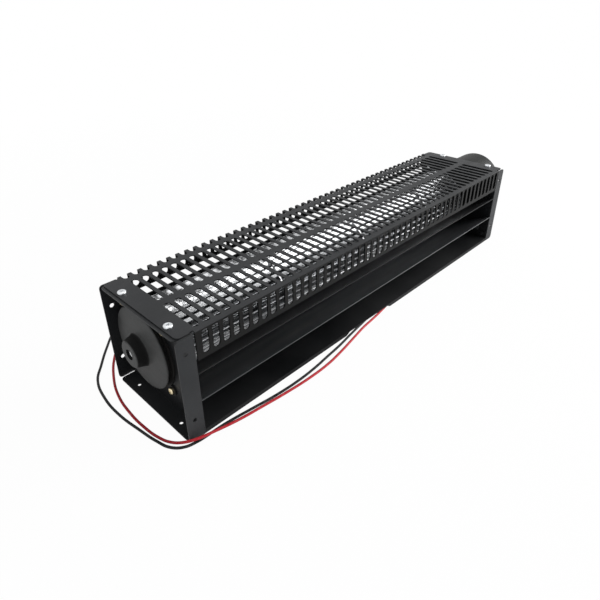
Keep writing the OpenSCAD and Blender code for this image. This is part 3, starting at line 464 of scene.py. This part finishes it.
def pressed(name, colour, rough, speckle=0.2, metallic=0.0):
    """Pressed or sintered stuff: matt, with a fine mottled grain."""
    f = Finish(name, Metallic=metallic)
    grain = f.noise(1300, 3, 0.6)
    mottle = f.noise(240, 2, 0.5)
    body = f.blend(f.range(grain, 0.4, 0.62), darker(colour, speckle), paler(colour, 0.05))
    f.set("Base Color", body)
    f.set("Roughness", f.range(mottle, 0.3, 0.7, rough - 0.08, rough + 0.08))
    return f.bumped(grain, 0.00007, 0.7)


def resin_paper(name, colour):
    """Brown resin laminate with a fibrous, layered look."""
    f = Finish(name, Specular_IOR_Level=0.5)
    fibres = f.noise(1.0, 4, 0.65, f.stretched((400, 700, 90), turn=(0.5, 0, 0)))
    layers = f.noise(1.0, 1, 0.5, f.stretched((4200, 20, 20)))
    body = f.blend(f.range(fibres, 0.35, 0.65), darker(colour, 0.3), paler(colour, 0.06))
    f.set("Base Color", body)
    f.set("Roughness", f.range(layers, 0.3, 0.7, 0.38, 0.55))
    return f.bumped(fibres, 0.00005, 0.6)


# ---- Modelling by hand ----

def select_only(*pieces):
    bpy.ops.object.select_all(action="DESELECT")
    for piece in pieces:
        piece.select_set(True)
    bpy.context.view_layer.objects.active = pieces[-1]


def apply_modifiers(piece):
    select_only(piece)
    for modifier in list(piece.modifiers):
        bpy.ops.object.modifier_apply(modifier=modifier.name)


def apply_place(piece):
    """Moves the piece's place, turn and scale into its mesh."""
    select_only(piece)
    bpy.ops.object.transform_apply(location=True, rotation=True, scale=True)


def faces_where(piece, test):
    """Selects the faces of a piece in edit mode by a test on their centre and normal."""
    bpy.ops.mesh.select_all(action="DESELECT")
    mesh = bmesh.from_edit_mesh(piece.data)
    for face in mesh.faces:
        if test(face.calc_center_median(), face.normal):
            face.select = True
    mesh.select_flush_mode()
    bmesh.update_edit_mesh(piece.data)


def finish_piece(piece, material, body, *replaced, slot=None):
    """Gives a piece its material, its body and the nodes that it replaces; slot is not used."""
    piece.data.materials.clear()
    piece.data.materials.append(material)
    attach(piece, body)
    if replaced:
        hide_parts(*replaced)


def merged_copy(node, name):
    """A CAD solid's mesh as a new piece, its triangles joined and its flat faces made whole."""
    piece = bpy.data.objects.new(name, NODES[node].data.copy())
    bpy.context.scene.collection.objects.link(piece)
    select_only(piece)
    bpy.ops.mesh.customdata_custom_splitnormals_clear()
    bpy.ops.object.mode_set(mode="EDIT")
    bpy.ops.mesh.select_all(action="SELECT")
    bpy.ops.mesh.remove_doubles(threshold=MERGE_GAP)
    bpy.ops.mesh.dissolve_limited(angle_limit=FLAT_ANGLE, use_dissolve_boundaries=False)
    bpy.ops.object.mode_set(mode="OBJECT")
    return piece


def soften(piece, edge_radius, bend_radius, is_bend=lambda middle: False):
    """Rounds the cut edges a little, and the folded corners to their bend radius."""
    mesh = bmesh.new()
    mesh.from_mesh(piece.data)
    weight = mesh.edges.layers.float.new("bevel_weight_edge")
    for edge in mesh.edges:
        if len(edge.link_faces) == 2 and edge.calc_face_angle(0) > CORNER_ANGLE:
            middle = (edge.verts[0].co + edge.verts[1].co) / 2
            edge[weight] = 1.0 if is_bend(middle) else edge_radius / bend_radius
    mesh.to_mesh(piece.data)
    mesh.free()
    bevel = piece.modifiers.new("Edges", "BEVEL")
    bevel.limit_method = "WEIGHT"
    bevel.width = bend_radius
    bevel.segments = 3
    bevel.use_clamp_overlap = True
    bevel.miter_outer = "MITER_ARC"
    select_only(piece)
    bpy.ops.object.shade_smooth_by_angle(angle=SMOOTH_ANGLE)
    normals = piece.modifiers.new("Flat faces", "WEIGHTED_NORMAL")
    normals.keep_sharp = True
    apply_modifiers(piece)


def near(value, *places, by=0.00006):
    """Whether a value is one of some places, within a small gap."""
    return any(abs(value - place) < by for place in places)


def block(name, low, high):
    """A box between two corners, for adding to a sheet or cutting from it."""
    low, high = Vector(low), Vector(high)
    bpy.ops.object.select_all(action="DESELECT")
    bpy.ops.mesh.primitive_cube_add(size=1, location=(low + high) / 2)
    piece = bpy.context.object
    piece.name = name
    piece.scale = high - low
    apply_place(piece)
    return piece


def combine(piece, operation, *others):
    """Adds other pieces to a piece or cuts them from it, and uses them up."""
    for other in others:
        step = piece.modifiers.new(other.name, "BOOLEAN")
        step.operation = operation
        step.solver = "EXACT"
        step.object = other
    apply_modifiers(piece)
    for other in others:
        bpy.data.objects.remove(other)


def drawn_out(node, name, reach):
    """A merged copy of a piece, its end towards -X brought out and still selected in edit mode."""
    end_depth = 0.0006
    piece = merged_copy(node, name)
    end_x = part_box(node)[0].x
    bpy.ops.object.mode_set(mode="EDIT")
    faces_where(piece, lambda c, n: c.x < end_x + end_depth)
    bpy.ops.transform.translate(value=(-reach, 0, 0))
    return piece


# ---- Camera and leads ----

class FAN_OT_camera(bpy.types.Operator):
    """Sets the camera up in front of the near end, a little above the casing"""
    bl_idname = "fan.camera"
    bl_label = "Camera"

    def execute(self, context):
        bpy.ops.object.select_all(action="DESELECT")
        bpy.ops.object.camera_add(
            location=(-0.42750, -0.33844, 0.34366),
            rotation=tuple(math.radians(a) for a in (60.3313, 0.7982, -45.1187)))
        camera = context.object
        camera.name = "Camera"
        camera.data.lens = context.scene.fan_stage.lens
        camera.data.sensor_width = 36
        camera.data.shift_x = 0.0172
        camera.data.shift_y = -0.0510
        camera.data.clip_start = 0.01
        camera.data.clip_end = 100
        context.scene.camera = camera
        return {"FINISHED"}


# Routes of the two leads, in millimetres, from the motor to their bare ends. GROUND is the height
# of a lead's middle where it lies on the floor.
GROUND = 1.3
RED_ROUTE = (
    (330.5, 40.99797, 38.93135), (330.5, 53.12233, 31.93135), (330.5, 60.91656, 27.43135),
    (332, 68, 20), (327, 77, 9), (316, 84, 3), (300, 86, GROUND), (272, 83, GROUND),
    (242, 76, GROUND), (212, 64, GROUND), (182, 46, GROUND), (153, 24, GROUND), (124, -2, GROUND),
    (94, -25.5, GROUND), (62, -43, GROUND), (30, -53, GROUND), (0, -59, GROUND), (-24, -62.5, 1.6),
    (-42, -65.5, 3), (-68, -71.3, 4.6), (-96, -76.8, 5), (-120, -80, 5), (-148, -80.6, 5),
    (-176, -78.9, 5), (-204, -75.9, 5), (-231, -72.6, 5), (-254, -67.9, 5), (-270, -63.8, 5),
    (-280, -58.2, 4.4), (-286.6, -48.6, 2.4), (-290.6, -36, 1.5), (-293, -17, GROUND),
    (-293, 8, GROUND), (-289.2, 36, GROUND), (-280, 62, GROUND), (-262, 93, GROUND),
    (-240, 117, GROUND), (-214, 127, GROUND), (-192, 130, GROUND))
BLACK_ROUTE = (
    (330.5, 43.09797, 42.56865), (330.5, 55.22233, 35.56865), (330.5, 63.01656, 31.06865),
    (334, 73, 23), (331, 84, 11), (320, 91, 3.5), (302, 93, GROUND), (270, 90, GROUND),
    (238, 83, GROUND), (206, 70, GROUND), (174, 50, GROUND), (143, 25, GROUND), (112, -2, GROUND),
    (80, -24.5, GROUND), (46, -41, GROUND), (12, -50.5, GROUND), (-28, -57, GROUND),
    (-60, -61.9, GROUND), (-84, -66, GROUND), (-107, -68.7, GROUND), (-130, -71.4, GROUND),
    (-155, -72.6, GROUND), (-184, -71.4, GROUND), (-213, -67.9, GROUND), (-240, -64.8, GROUND),
    (-256, -64.2, GROUND), (-270, -63.4, GROUND), (-281, -60.4, GROUND), (-289.4, -52.4, GROUND),
    (-294, -38, GROUND), (-297.5, -17, GROUND), (-301, 12, GROUND), (-300, 42, GROUND),
    (-292.5, 71, GROUND), (-279.5, 89, GROUND), (-262, 111, GROUND), (-240, 134, GROUND),
    (-220, 145, GROUND), (-196, 151, GROUND))


def lead(name, route, diameter):
    """A lead as one smooth open curve along its route."""
    points = [Vector(p) / 1000 for p in route]
    curve = bpy.data.curves.new(name, "CURVE")
    curve.dimensions = "3D"
    curve.resolution_u = 6
    curve.bevel_depth = diameter / 2
    curve.bevel_resolution = 4
    curve.use_fill_caps = True
    spline = curve.splines.new("BEZIER")
    spline.bezier_points.add(len(points) - 1)
    for knot, point in zip(spline.bezier_points, points):
        knot.co = point
        knot.handle_left_type = knot.handle_right_type = "AUTO"
    piece = bpy.data.objects.new(name, curve)
    bpy.context.scene.collection.objects.link(piece)
    length = sum((b - a).length for a, b in zip(points, points[1:]))
    return piece, points, length


def bare_strands(name, points, length, diameter):
    """Seven tinned strands, six twisted round one, that stand out of a lead's end. They start a
    little inside it and spread towards their tips."""
    along = (points[-1] - points[-2]).normalized()
    side = along.cross(Vector((0, 0, 1))).normalized()
    up = side.cross(along)
    strand = diameter / 3.1
    steps, twist, sunk, spacing, flare = 14, 200, 0.08, 1.02, 0.12
    curve = bpy.data.curves.new(name, "CURVE")
    curve.dimensions = "3D"
    curve.bevel_depth = strand / 2
    curve.bevel_resolution = 2
    curve.use_fill_caps = True
    for k in range(7):
        spline = curve.splines.new("POLY")
        spline.points.add(steps)
        out = 0 if k == 6 else strand * spacing
        for i, point in enumerate(spline.points):
            t = i / steps
            turn = math.radians(60 * k + twist * t)
            place = points[-1] + along * (length * (t * (1 + sunk) - sunk))
            place += (side * math.cos(turn) + up * math.sin(turn)) * out * (1 + flare * t)
            point.co = (*place, 1)
    piece = bpy.data.objects.new(name, curve)
    bpy.context.scene.collection.objects.link(piece)
    select_only(piece)
    bpy.ops.object.convert(target="MESH")
    return piece


class FAN_OT_leads(bpy.types.Operator):
    """Lays the red and the black supply lead, with their bare tinned ends"""
    bl_idname = "fan.leads"
    bl_label = "Supply leads"

    def execute(self, context):
        settings = context.scene.fan_leads
        tinned = turned_metal("Tinned copper", (0.72, 0.73, 0.75), 0.3)
        core_share = 0.6
        for node, name, route, colour, slot in (
                ("red_lead", "red_supply_lead", RED_ROUTE, settings.red_colour, "red_insulation"),
                ("black_lead", "black_supply_lead", BLACK_ROUTE, settings.black_colour,
                 "black_insulation")):
            piece, points, length = lead(name, route, settings.diameter)
            finish_piece(piece, insulation(name.replace("_", " "), tuple(colour)), "housing",
                         node, slot=slot)
            strands = bare_strands(name + "_strands", points, settings.bare_length,
                                   settings.diameter * core_share)
            finish_piece(strands, tinned, "housing", slot="tinned_copper")
            tuple(points[0])
        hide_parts("lead_ends")
        return {"FINISHED"}


# ---- Casing sheets ----

class FAN_OT_end_plates(bpy.types.Operator):
    """Makes the two folded end plates with rounded bends and coated edges"""
    bl_idname = "fan.end_plates"
    bl_label = "End plates"

    def execute(self, context):
        s = context.scene.fan_sheets
        coat = powder_coat("Powder coat", tuple(s.coat_colour), 0.46, tray=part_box("near_end_plate"))
        for node, name, web_in in (("near_end_plate", "near_end_tray", WEB_IN[0]),
                                   ("far_end_plate", "far_end_tray", WEB_IN[1])):
            low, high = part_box(node)

            def is_bend(p):
                outside = near(p.y, low.y, high.y) or near(p.z, low.z, high.z)
                return outside and near(p.x, web_in)

            piece = merged_copy(node, name)
            soften(piece, s.edge_radius, s.bend_radius, is_bend)
            finish_piece(piece, coat, "housing", node, slot="casing")
        return {"FINISHED"}


class FAN_OT_cover(bpy.types.Operator):
    """Makes the slotted inlet cover, folded along its front and back edges"""
    bl_idname = "fan.cover"
    bl_label = "Inlet cover"

    def execute(self, context):
        s = context.scene.fan_sheets
        low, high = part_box("grille_cover")

        def is_bend(p):
            return near(p.y, low.y, high.y) and near(p.z, high.z) and WEB_IN[0] < p.x < WEB_IN[1]

        piece = merged_copy("grille_cover", "slotted_cover")
        soften(piece, s.edge_radius, s.bend_radius, is_bend)
        # The cover's paler colour is painted light.
        coat = powder_coat("Cover coat", tuple(s.cover_colour), 0.48, 0.15,
                           joint_z=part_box("near_end_plate")[1].z)
        finish_piece(piece, coat, "housing", "grille_cover", slot="cover")
        return {"FINISHED"}


def add_base_lip(base, front, top):
    """Turns the base plate's front edge down to the floor, with a flat relief for the leads."""
    past, flare = 0.001, 1.2
    lip = block("Base lip", (WEB_IN[0], front, FOOT_GAP), (WEB_IN[1], front + BASE_LIP_T, top))
    relief = block("Lead relief", (LEAD_RELIEF[0], front - past, -past),
                   (LEAD_RELIEF[1], front + BASE_LIP_T + past, LEAD_RELIEF_TOP))
    select_only(relief)
    bpy.ops.object.mode_set(mode="EDIT")
    faces_where(relief, lambda c, n: n.z < -0.9)
    bpy.ops.transform.resize(value=(flare, 1, 1), center_override=(sum(LEAD_RELIEF) / 2, 0, 0))
    bpy.ops.object.mode_set(mode="OBJECT")
    combine(lip, "DIFFERENCE", relief)
    combine(base, "UNION", lip)


class FAN_OT_air_path(bpy.types.Operator):
    """Makes the base plate, the scroll with the lower lip and the tongue with the upper lip"""
    bl_idname = "fan.air_path"
    bl_label = "Air path"

    def execute(self, context):
        s = context.scene.fan_sheets
        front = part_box("scroll_sheet")[0].y

        def is_bend(p):
            fold = near(p.z, LOWER_LIP, UPPER_LIP, BASE_TOP, by=0.0002)
            return fold and near(p.y, front) and WEB_IN[0] < p.x < WEB_IN[1]

        # Painted shade and light: each coat is the casing's colour times share, darker on base and
        # tongue, paler on the scroll.
        for node, name, share, shine in (
                ("base_and_back_wall", "base_sheet", 0.35, 0.08),
                ("scroll_sheet", "scroll_and_lower_lip", 1.45, 0.3),
                ("tongue_sheet", "tongue_and_upper_lip", 0.3, 0.08)):
            coat = powder_coat(name.replace("_", " ") + " coat",
                               tuple(c * share for c in s.coat_colour), 0.5, shine,
                               outside_colour=tuple(s.coat_colour))
            piece = merged_copy(node, name)
            if node == "base_and_back_wall":
                add_base_lip(piece, front, BASE_TOP)
            soften(piece, s.edge_radius, LIP_BEND_R, is_bend)
            finish_piece(piece, coat, "housing", node, slot="casing")
        return {"FINISHED"}


# ---- Screws ----

def cross_head_screw(name, head_d, head_h, thread_d, length, recess):
    """A domed screw with a cross recess: head above Z = 0, ringed thread below."""
    rim_share, dome_in = 0.55, 0.62
    rings, groove, smooth_angle = 8, 0.84, 30
    arm_l, arm_w, floor_taper, past = 0.22, 0.05, (0.45, 0.6, 1), 0.0002
    bpy.ops.object.select_all(action="DESELECT")
    bpy.ops.mesh.primitive_cylinder_add(vertices=40, radius=head_d / 2, depth=head_h * rim_share,
                                        location=(0, 0, head_h * rim_share / 2))
    screw = bpy.context.object
    screw.name = name
    apply_place(screw)
    bpy.ops.object.mode_set(mode="EDIT")
    faces_where(screw, lambda c, n: n.z > 0.9)
    wide, high = 1.0, rim_share
    for angle in (15, 30, 45, 60, 75):
        next_wide = 1 - dome_in * (1 - math.cos(math.radians(angle)))
        next_high = rim_share + (1 - rim_share) * math.sin(math.radians(angle))
        bpy.ops.mesh.extrude_region_move(
            TRANSFORM_OT_translate={"value": (0, 0, head_h * (next_high - high))})
        factor = next_wide / wide
        bpy.ops.transform.resize(value=(factor, factor, 1), center_override=(0, 0, head_h))
        wide, high = next_wide, next_high
    faces_where(screw, lambda c, n: n.z < -0.9)
    bpy.ops.mesh.inset(thickness=(head_d - thread_d) / 2 * 0.999)
    for k in range(2 * rings):
        bpy.ops.mesh.extrude_region_move(
            TRANSFORM_OT_translate={"value": (0, 0, -length / (2 * rings))})
        factor = groove if k % 2 == 0 else 1 / groove
        bpy.ops.transform.resize(value=(factor, factor, 1), center_override=(0, 0, 0))
    bpy.ops.object.mode_set(mode="OBJECT")
    cutters = []
    for turn in (0, 90):
        half = Vector((head_d * arm_l, head_d * arm_w, 0))
        bar = block("Recess", -half + Vector((0, 0, head_h - recess)),
                    half + Vector((0, 0, head_h + past)))
        bar.rotation_euler.z = math.radians(turn)
        apply_place(bar)
        bpy.ops.object.mode_set(mode="EDIT")
        faces_where(bar, lambda c, n: n.z < -0.9)
        bpy.ops.transform.resize(value=floor_taper, center_override=(0, 0, 0))
        bpy.ops.object.mode_set(mode="OBJECT")
        cutters.append(bar)
    combine(screw, "DIFFERENCE", *cutters)
    select_only(screw)
    bpy.ops.object.shade_smooth_by_angle(angle=math.radians(smooth_angle))
    return screw


def placed_copies(pattern, name, places):
    """Copies of one screw at several places, joined as one piece; the pattern is used up."""
    copies = []
    for matrix in places:
        copy = bpy.data.objects.new(name, pattern.data.copy())
        bpy.context.scene.collection.objects.link(copy)
        copy.data.transform(matrix)
        copies.append(copy)
    bpy.data.objects.remove(pattern)
    select_only(*copies)
    bpy.ops.object.join()
    joined = bpy.context.object
    joined.name = name
    return joined


def solid_tops(node, heads, axis, outward):
    """Places of a node's screws: under the heads of its separate solids, whose heads point along
    an axis, outward being 1 or -1."""
    mesh = bmesh.new()
    mesh.from_mesh(NODES[node].data)
    bmesh.ops.remove_doubles(mesh, verts=mesh.verts, dist=MERGE_GAP)
    left = set(mesh.verts)
    middles = []
    while left:
        group, edge = set(), [left.pop()]
        while edge:
            vert = edge.pop()
            group.add(vert)
            for link in vert.link_edges:
                other = link.other_vert(vert)
                if other in left:
                    left.discard(other)
                    edge.append(other)
        low = Vector(min(v.co[i] for v in group) for i in range(3))
        high = Vector(max(v.co[i] for v in group) for i in range(3))
        middle = (low + high) / 2
        middle[axis] = (high if outward > 0 else low)[axis] - outward * heads
        middles.append(middle)
    mesh.free()
    return sorted(middles, key=lambda p: tuple(round(c, 5) for c in p))


class FAN_OT_cover_screws(bpy.types.Operator):
    """Makes the four zinc-plated cover screws with cross recesses"""
    bl_idname = "fan.cover_screws"
    bl_label = "Cover screws"

    def execute(self, context):
        s = context.scene.fan_metals
        screw = cross_head_screw("cover_screw", head_d=0.008, head_h=HEAD_H, thread_d=0.0039,
                                 length=0.009, recess=s.recess_depth)
        turns = (12, -24, 38, 5)
        places = [Matrix.Translation(p) @ Matrix.Rotation(math.radians(t), 4, "Z")
                  for p, t in zip(solid_tops("cover_screws", HEAD_H, axis=2, outward=1), turns)]
        piece = placed_copies(screw, "cross_head_cover_screws", places)
        finish_piece(piece, turned_metal("Zinc plate", tuple(s.zinc_colour), 0.24), "housing",
                     "cover_screws", slot="zinc_screw")
        return {"FINISHED"}


class FAN_OT_mount_screws(bpy.types.Operator):
    """Makes the brass screws of the bearing bracket and the zinc-plated ones of the motor collar"""
    bl_idname = "fan.mount_screws"
    bl_label = "Bracket and collar screws"

    def execute(self, context):
        s = context.scene.fan_metals
        brass = turned_metal("Brass", tuple(s.brass_colour), 0.28)
        zinc = turned_metal("Collar zinc", tuple(s.zinc_colour), 0.26)
        for node, name, outward, length, metal, slot in (
                ("bracket_screws", "brass_bracket_screws", -1, 0.006, brass, "brass_screw"),
                ("collar_screws", "zinc_collar_screws", 1, 0.0032, zinc, "zinc_screw")):
            screw = cross_head_screw(name, head_d=0.007, head_h=HEAD_H, thread_d=0.0038,
                                     length=length, recess=0.0013)
            tip = Matrix.Rotation(math.radians(90 * outward), 4, "Y")
            turns = (20, 51, 82, 113)
            places = [Matrix.Translation(p) @ tip @ Matrix.Rotation(math.radians(t), 4, "Z")
                      for p, t in zip(solid_tops(node, HEAD_H, 0, outward), turns)]
            piece = placed_copies(screw, name, places)
            finish_piece(piece, metal, "housing", node, slot=slot)
        return {"FINISHED"}


# ---- Carried-over solids ----

def dress(material, *nodes):
    """Gives CAD solids their finish; their shape stays."""
    for node in nodes:
        slots = NODES[node].data.materials
        slots.clear()
        slots.append(material)


class FAN_OT_bearing(bpy.types.Operator):
    """Makes the bearing dish and the stub shaft reach out, and finishes them, the bracket, the
    ball bearing, the motor shaft and the casing's rivets"""
    bl_idname = "fan.bearing"
    bl_label = "Near bearing"

    def execute(self, context):
        centre = (0, AXIS.y, AXIS.z)

        def in_hole(c, n):
            return abs(n.x) < 0.3 and math.hypot(c.y - AXIS.y, c.z - AXIS.z) < CAD_HOLE_R

        dish = drawn_out("bearing_dish", "dish_with_hub", HUB_REACH)
        bpy.ops.transform.resize(value=(1, HUB_TAPER, HUB_TAPER), center_override=centre)
        faces_where(dish, in_hole)
        bpy.ops.transform.resize(value=(1, HUB_HOLE, HUB_HOLE), center_override=centre)
        bpy.ops.object.mode_set(mode="OBJECT")
        soften(dish, 0.0004, 0.0004)
        moulding = moulded_dish("Dish moulding", (0.062, 0.063, 0.062), (0.003, 0.003, 0.003))
        finish_piece(dish, moulding, "housing", "bearing_dish")
        dress(stove_paint("Bracket paint", (0.020, 0.019, 0.018)), "bearing_bracket")
        dress(turned_metal("Bearing steel", (0.62, 0.63, 0.65), 0.18),
              "bearing_outer_race", "bearing_inner_race", "bearing_balls")
        ground = turned_metal("Ground shaft", (0.86, 0.87, 0.88), 0.42)
        stub = drawn_out("stub_shaft", "stub_shaft_to_hub", SHAFT_REACH)
        bpy.ops.object.mode_set(mode="OBJECT")
        soften(stub, 0.0002, 0.0002)
        finish_piece(stub, ground, "rotor", "stub_shaft")
        dress(ground, "motor_shaft")
        dress(stove_paint("Rivet paint", (0.018, 0.018, 0.020)), "shell_rivets")
        return {"FINISHED"}


class FAN_OT_wheel(bpy.types.Operator):
    """Finishes the wheel's blades and discs and its grub screw"""
    bl_idname = "fan.wheel"
    bl_label = "Wheel"

    def execute(self, context):
        colour = tuple(context.scene.fan_metals.wheel_colour)
        dress(rolled_aluminium("Blade aluminium", colour, BLADE_SHADE_R),
              "wheel_blades_1", "wheel_blades_2", "wheel_blades_3", "wheel_blades_4")
        dress(rolled_aluminium("Disc aluminium", tuple(c * 0.94 for c in colour)),
              "wheel_near_disc", "wheel_middle_discs", "wheel_far_disc")
        dress(pressed("Black oxide", (0.045, 0.047, 0.052), 0.4, 0.2, 0.8), "hub_grub_screw")
        return {"FINISHED"}


class FAN_OT_motor(bpy.types.Operator):
    """Finishes the motor's can, end cap, collar, bolts and grommet"""
    bl_idname = "fan.motor"
    bl_label = "Motor"

    def execute(self, context):
        dress(stove_paint("Motor paint", (0.0085, 0.0095, 0.0085)), "motor_can", "motor_end_cap")
        dress(stove_paint("Collar paint", (0.020, 0.020, 0.021)), "motor_collar")
        dress(turned_metal("Bolt zinc", (0.70, 0.72, 0.74), 0.26), "motor_bolts")
        dress(pressed("Grommet rubber", (0.018, 0.018, 0.018), 0.62), "lead_grommet")
        return {"FINISHED"}


class FAN_OT_motor_inside(bpy.types.Operator):
    """Finishes the magnets, armature, commutator, brush gear and bushes inside the motor"""
    bl_idname = "fan.motor_inside"
    bl_label = "Inside the motor"

    def execute(self, context):
        dress(pressed("Ferrite", (0.07, 0.07, 0.075), 0.6), "motor_magnets")
        dress(pressed("Sintered bronze", (0.50, 0.36, 0.20), 0.45, 0.3, 1.0),
              "front_bush", "rear_bush")
        dress(laminated_steel("Laminations", (0.36, 0.37, 0.40)), "armature_core")
        dress(wound_copper("Enamelled copper", (0.62, 0.26, 0.10)), "armature_winding")
        dress(segmented_copper("Commutator copper", (0.70, 0.38, 0.22)), "commutator")
        dress(resin_paper("Resin laminate", (0.26, 0.13, 0.05)), "brush_plate")
        dress(turned_metal("Holder brass", (0.74, 0.57, 0.30), 0.3),
              "brush_holders", "brush_terminals")
        dress(pressed("Brush carbon", (0.03, 0.03, 0.033), 0.55, 0.3), "carbon_brushes")
        dress(turned_metal("Spring steel", (0.55, 0.56, 0.58), 0.3), "brush_springs")
        return {"FINISHED"}


# ---- Stage ----

def floor_finish():
    """Pale floor that glows white where it is seen, less near the object, so its shadow stays."""
    f = Finish("Pale floor", Roughness=0.9, Specular_IOR_Level=0.1)
    tone = f.noise(3, 2, 0.5)
    f.set("Base Color", f.blend(tone, (0.86, 0.86, 0.86), (0.88, 0.88, 0.88)))
    glow = f.node("ShaderNodeEmission", None, {"Color": (1, 1, 1, 1), "Strength": 1.0})
    x, y = f.axes()[:2]
    share = f.seen_directly() * f.range(f.distance(x, y), 0.4, 1.2, 0.97, 1.0)
    f.end("ShaderNodeOutputMaterial", f.mixed(share, f.surface, glow))
    return f.material


def surround_light(world):
    """Soft surround that shows white behind the object."""
    world.use_nodes = True
    graph = Graph(world.node_tree)
    soft = graph.node("ShaderNodeBackground", None,
                      {"Color": (0.95, 0.97, 1.0, 1), "Strength": 0.38})
    white = graph.node("ShaderNodeBackground", None, {"Color": (1, 1, 1, 1), "Strength": 1.0})
    graph.end("ShaderNodeOutputWorld", graph.mixed(graph.seen_directly(), soft, white))


class FAN_OT_stage(bpy.types.Operator):
    """Adds the pale floor, the white surround and the soft lights"""
    bl_idname = "fan.stage"
    bl_label = "Floor and lights"

    def execute(self, context):
        s = context.scene.fan_stage
        bpy.ops.object.select_all(action="DESELECT")
        bpy.ops.mesh.primitive_plane_add(size=s.floor_size, location=(0, 0, 0))
        floor = context.object
        floor.name = "floor"
        floor.data.transform(Matrix.Translation((0, 0, CAD_BOX[0].z - FLOOR_GAP)))
        floor.data.materials.append(floor_finish())
        aim = Vector((0, 0, 0.05))
        for name, place, size, power in (
                ("Key light", (1.4, -0.95, 0.6), 1.8, s.key_power),
                ("Fill light", (-1.6, -0.6, 1.2), 1.4, s.fill_power),
                ("Top light", (0.1, 0.5, 2.0), 1.6, s.top_power)):
            bpy.ops.object.light_add(type="AREA", location=place)
            lamp = context.object
            lamp.name = name
            lamp.data.size = size
            lamp.data.energy = power
            lamp.rotation_euler = (Vector(place) - aim).to_track_quat("Z", "Y").to_euler()
        world = bpy.data.worlds.new("Surround")
        context.scene.world = world
        surround_light(world)
        context.scene.view_settings.view_transform = "Standard"
        return {"FINISHED"}


class FAN_PT_panel(bpy.types.Panel):
    """Lists the fan's pieces"""
    bl_idname = "FAN_PT_panel"
    bl_label = "Cross-flow fan"
    bl_space_type = "VIEW_3D"
    bl_region_type = "UI"
    bl_category = "Fan"

    def draw(self, context):
        for operator in OPERATORS:
            self.layout.operator(operator.bl_idname)
        scene = context.scene
        for group in (scene.fan_sheets, scene.fan_leads, scene.fan_metals, scene.fan_stage):
            for name in type(group).__annotations__:
                self.layout.prop(group, name)


GROUPS = (FanSheetSettings, FanLeadSettings, FanMetalSettings, FanStageSettings)
OPERATORS = (FAN_OT_camera, FAN_OT_leads, FAN_OT_end_plates, FAN_OT_cover, FAN_OT_air_path,
             FAN_OT_cover_screws, FAN_OT_mount_screws, FAN_OT_bearing, FAN_OT_wheel, FAN_OT_motor,
             FAN_OT_motor_inside, FAN_OT_stage)


def register():
    for cls in GROUPS + OPERATORS + (FAN_PT_panel,):
        bpy.utils.register_class(cls)
    bpy.types.Scene.fan_sheets = bpy.props.PointerProperty(type=FanSheetSettings)
    bpy.types.Scene.fan_leads = bpy.props.PointerProperty(type=FanLeadSettings)
    bpy.types.Scene.fan_metals = bpy.props.PointerProperty(type=FanMetalSettings)
    bpy.types.Scene.fan_stage = bpy.props.PointerProperty(type=FanStageSettings)


def unregister():
    del bpy.types.Scene.fan_sheets, bpy.types.Scene.fan_leads
    del bpy.types.Scene.fan_metals, bpy.types.Scene.fan_stage
    for cls in reversed(GROUPS + OPERATORS + (FAN_PT_panel,)):
        bpy.utils.unregister_class(cls)


def main():
    register()
    bpy.ops.fan.camera()
    bpy.ops.fan.leads()
    bpy.ops.fan.end_plates()
    bpy.ops.fan.cover()
    bpy.ops.fan.air_path()
    bpy.ops.fan.cover_screws()
    bpy.ops.fan.mount_screws()
    bpy.ops.fan.bearing()
    bpy.ops.fan.wheel()
    bpy.ops.fan.motor()
    bpy.ops.fan.motor_inside()
    bpy.ops.fan.stage()


if __name__ == "__main__":
    main()
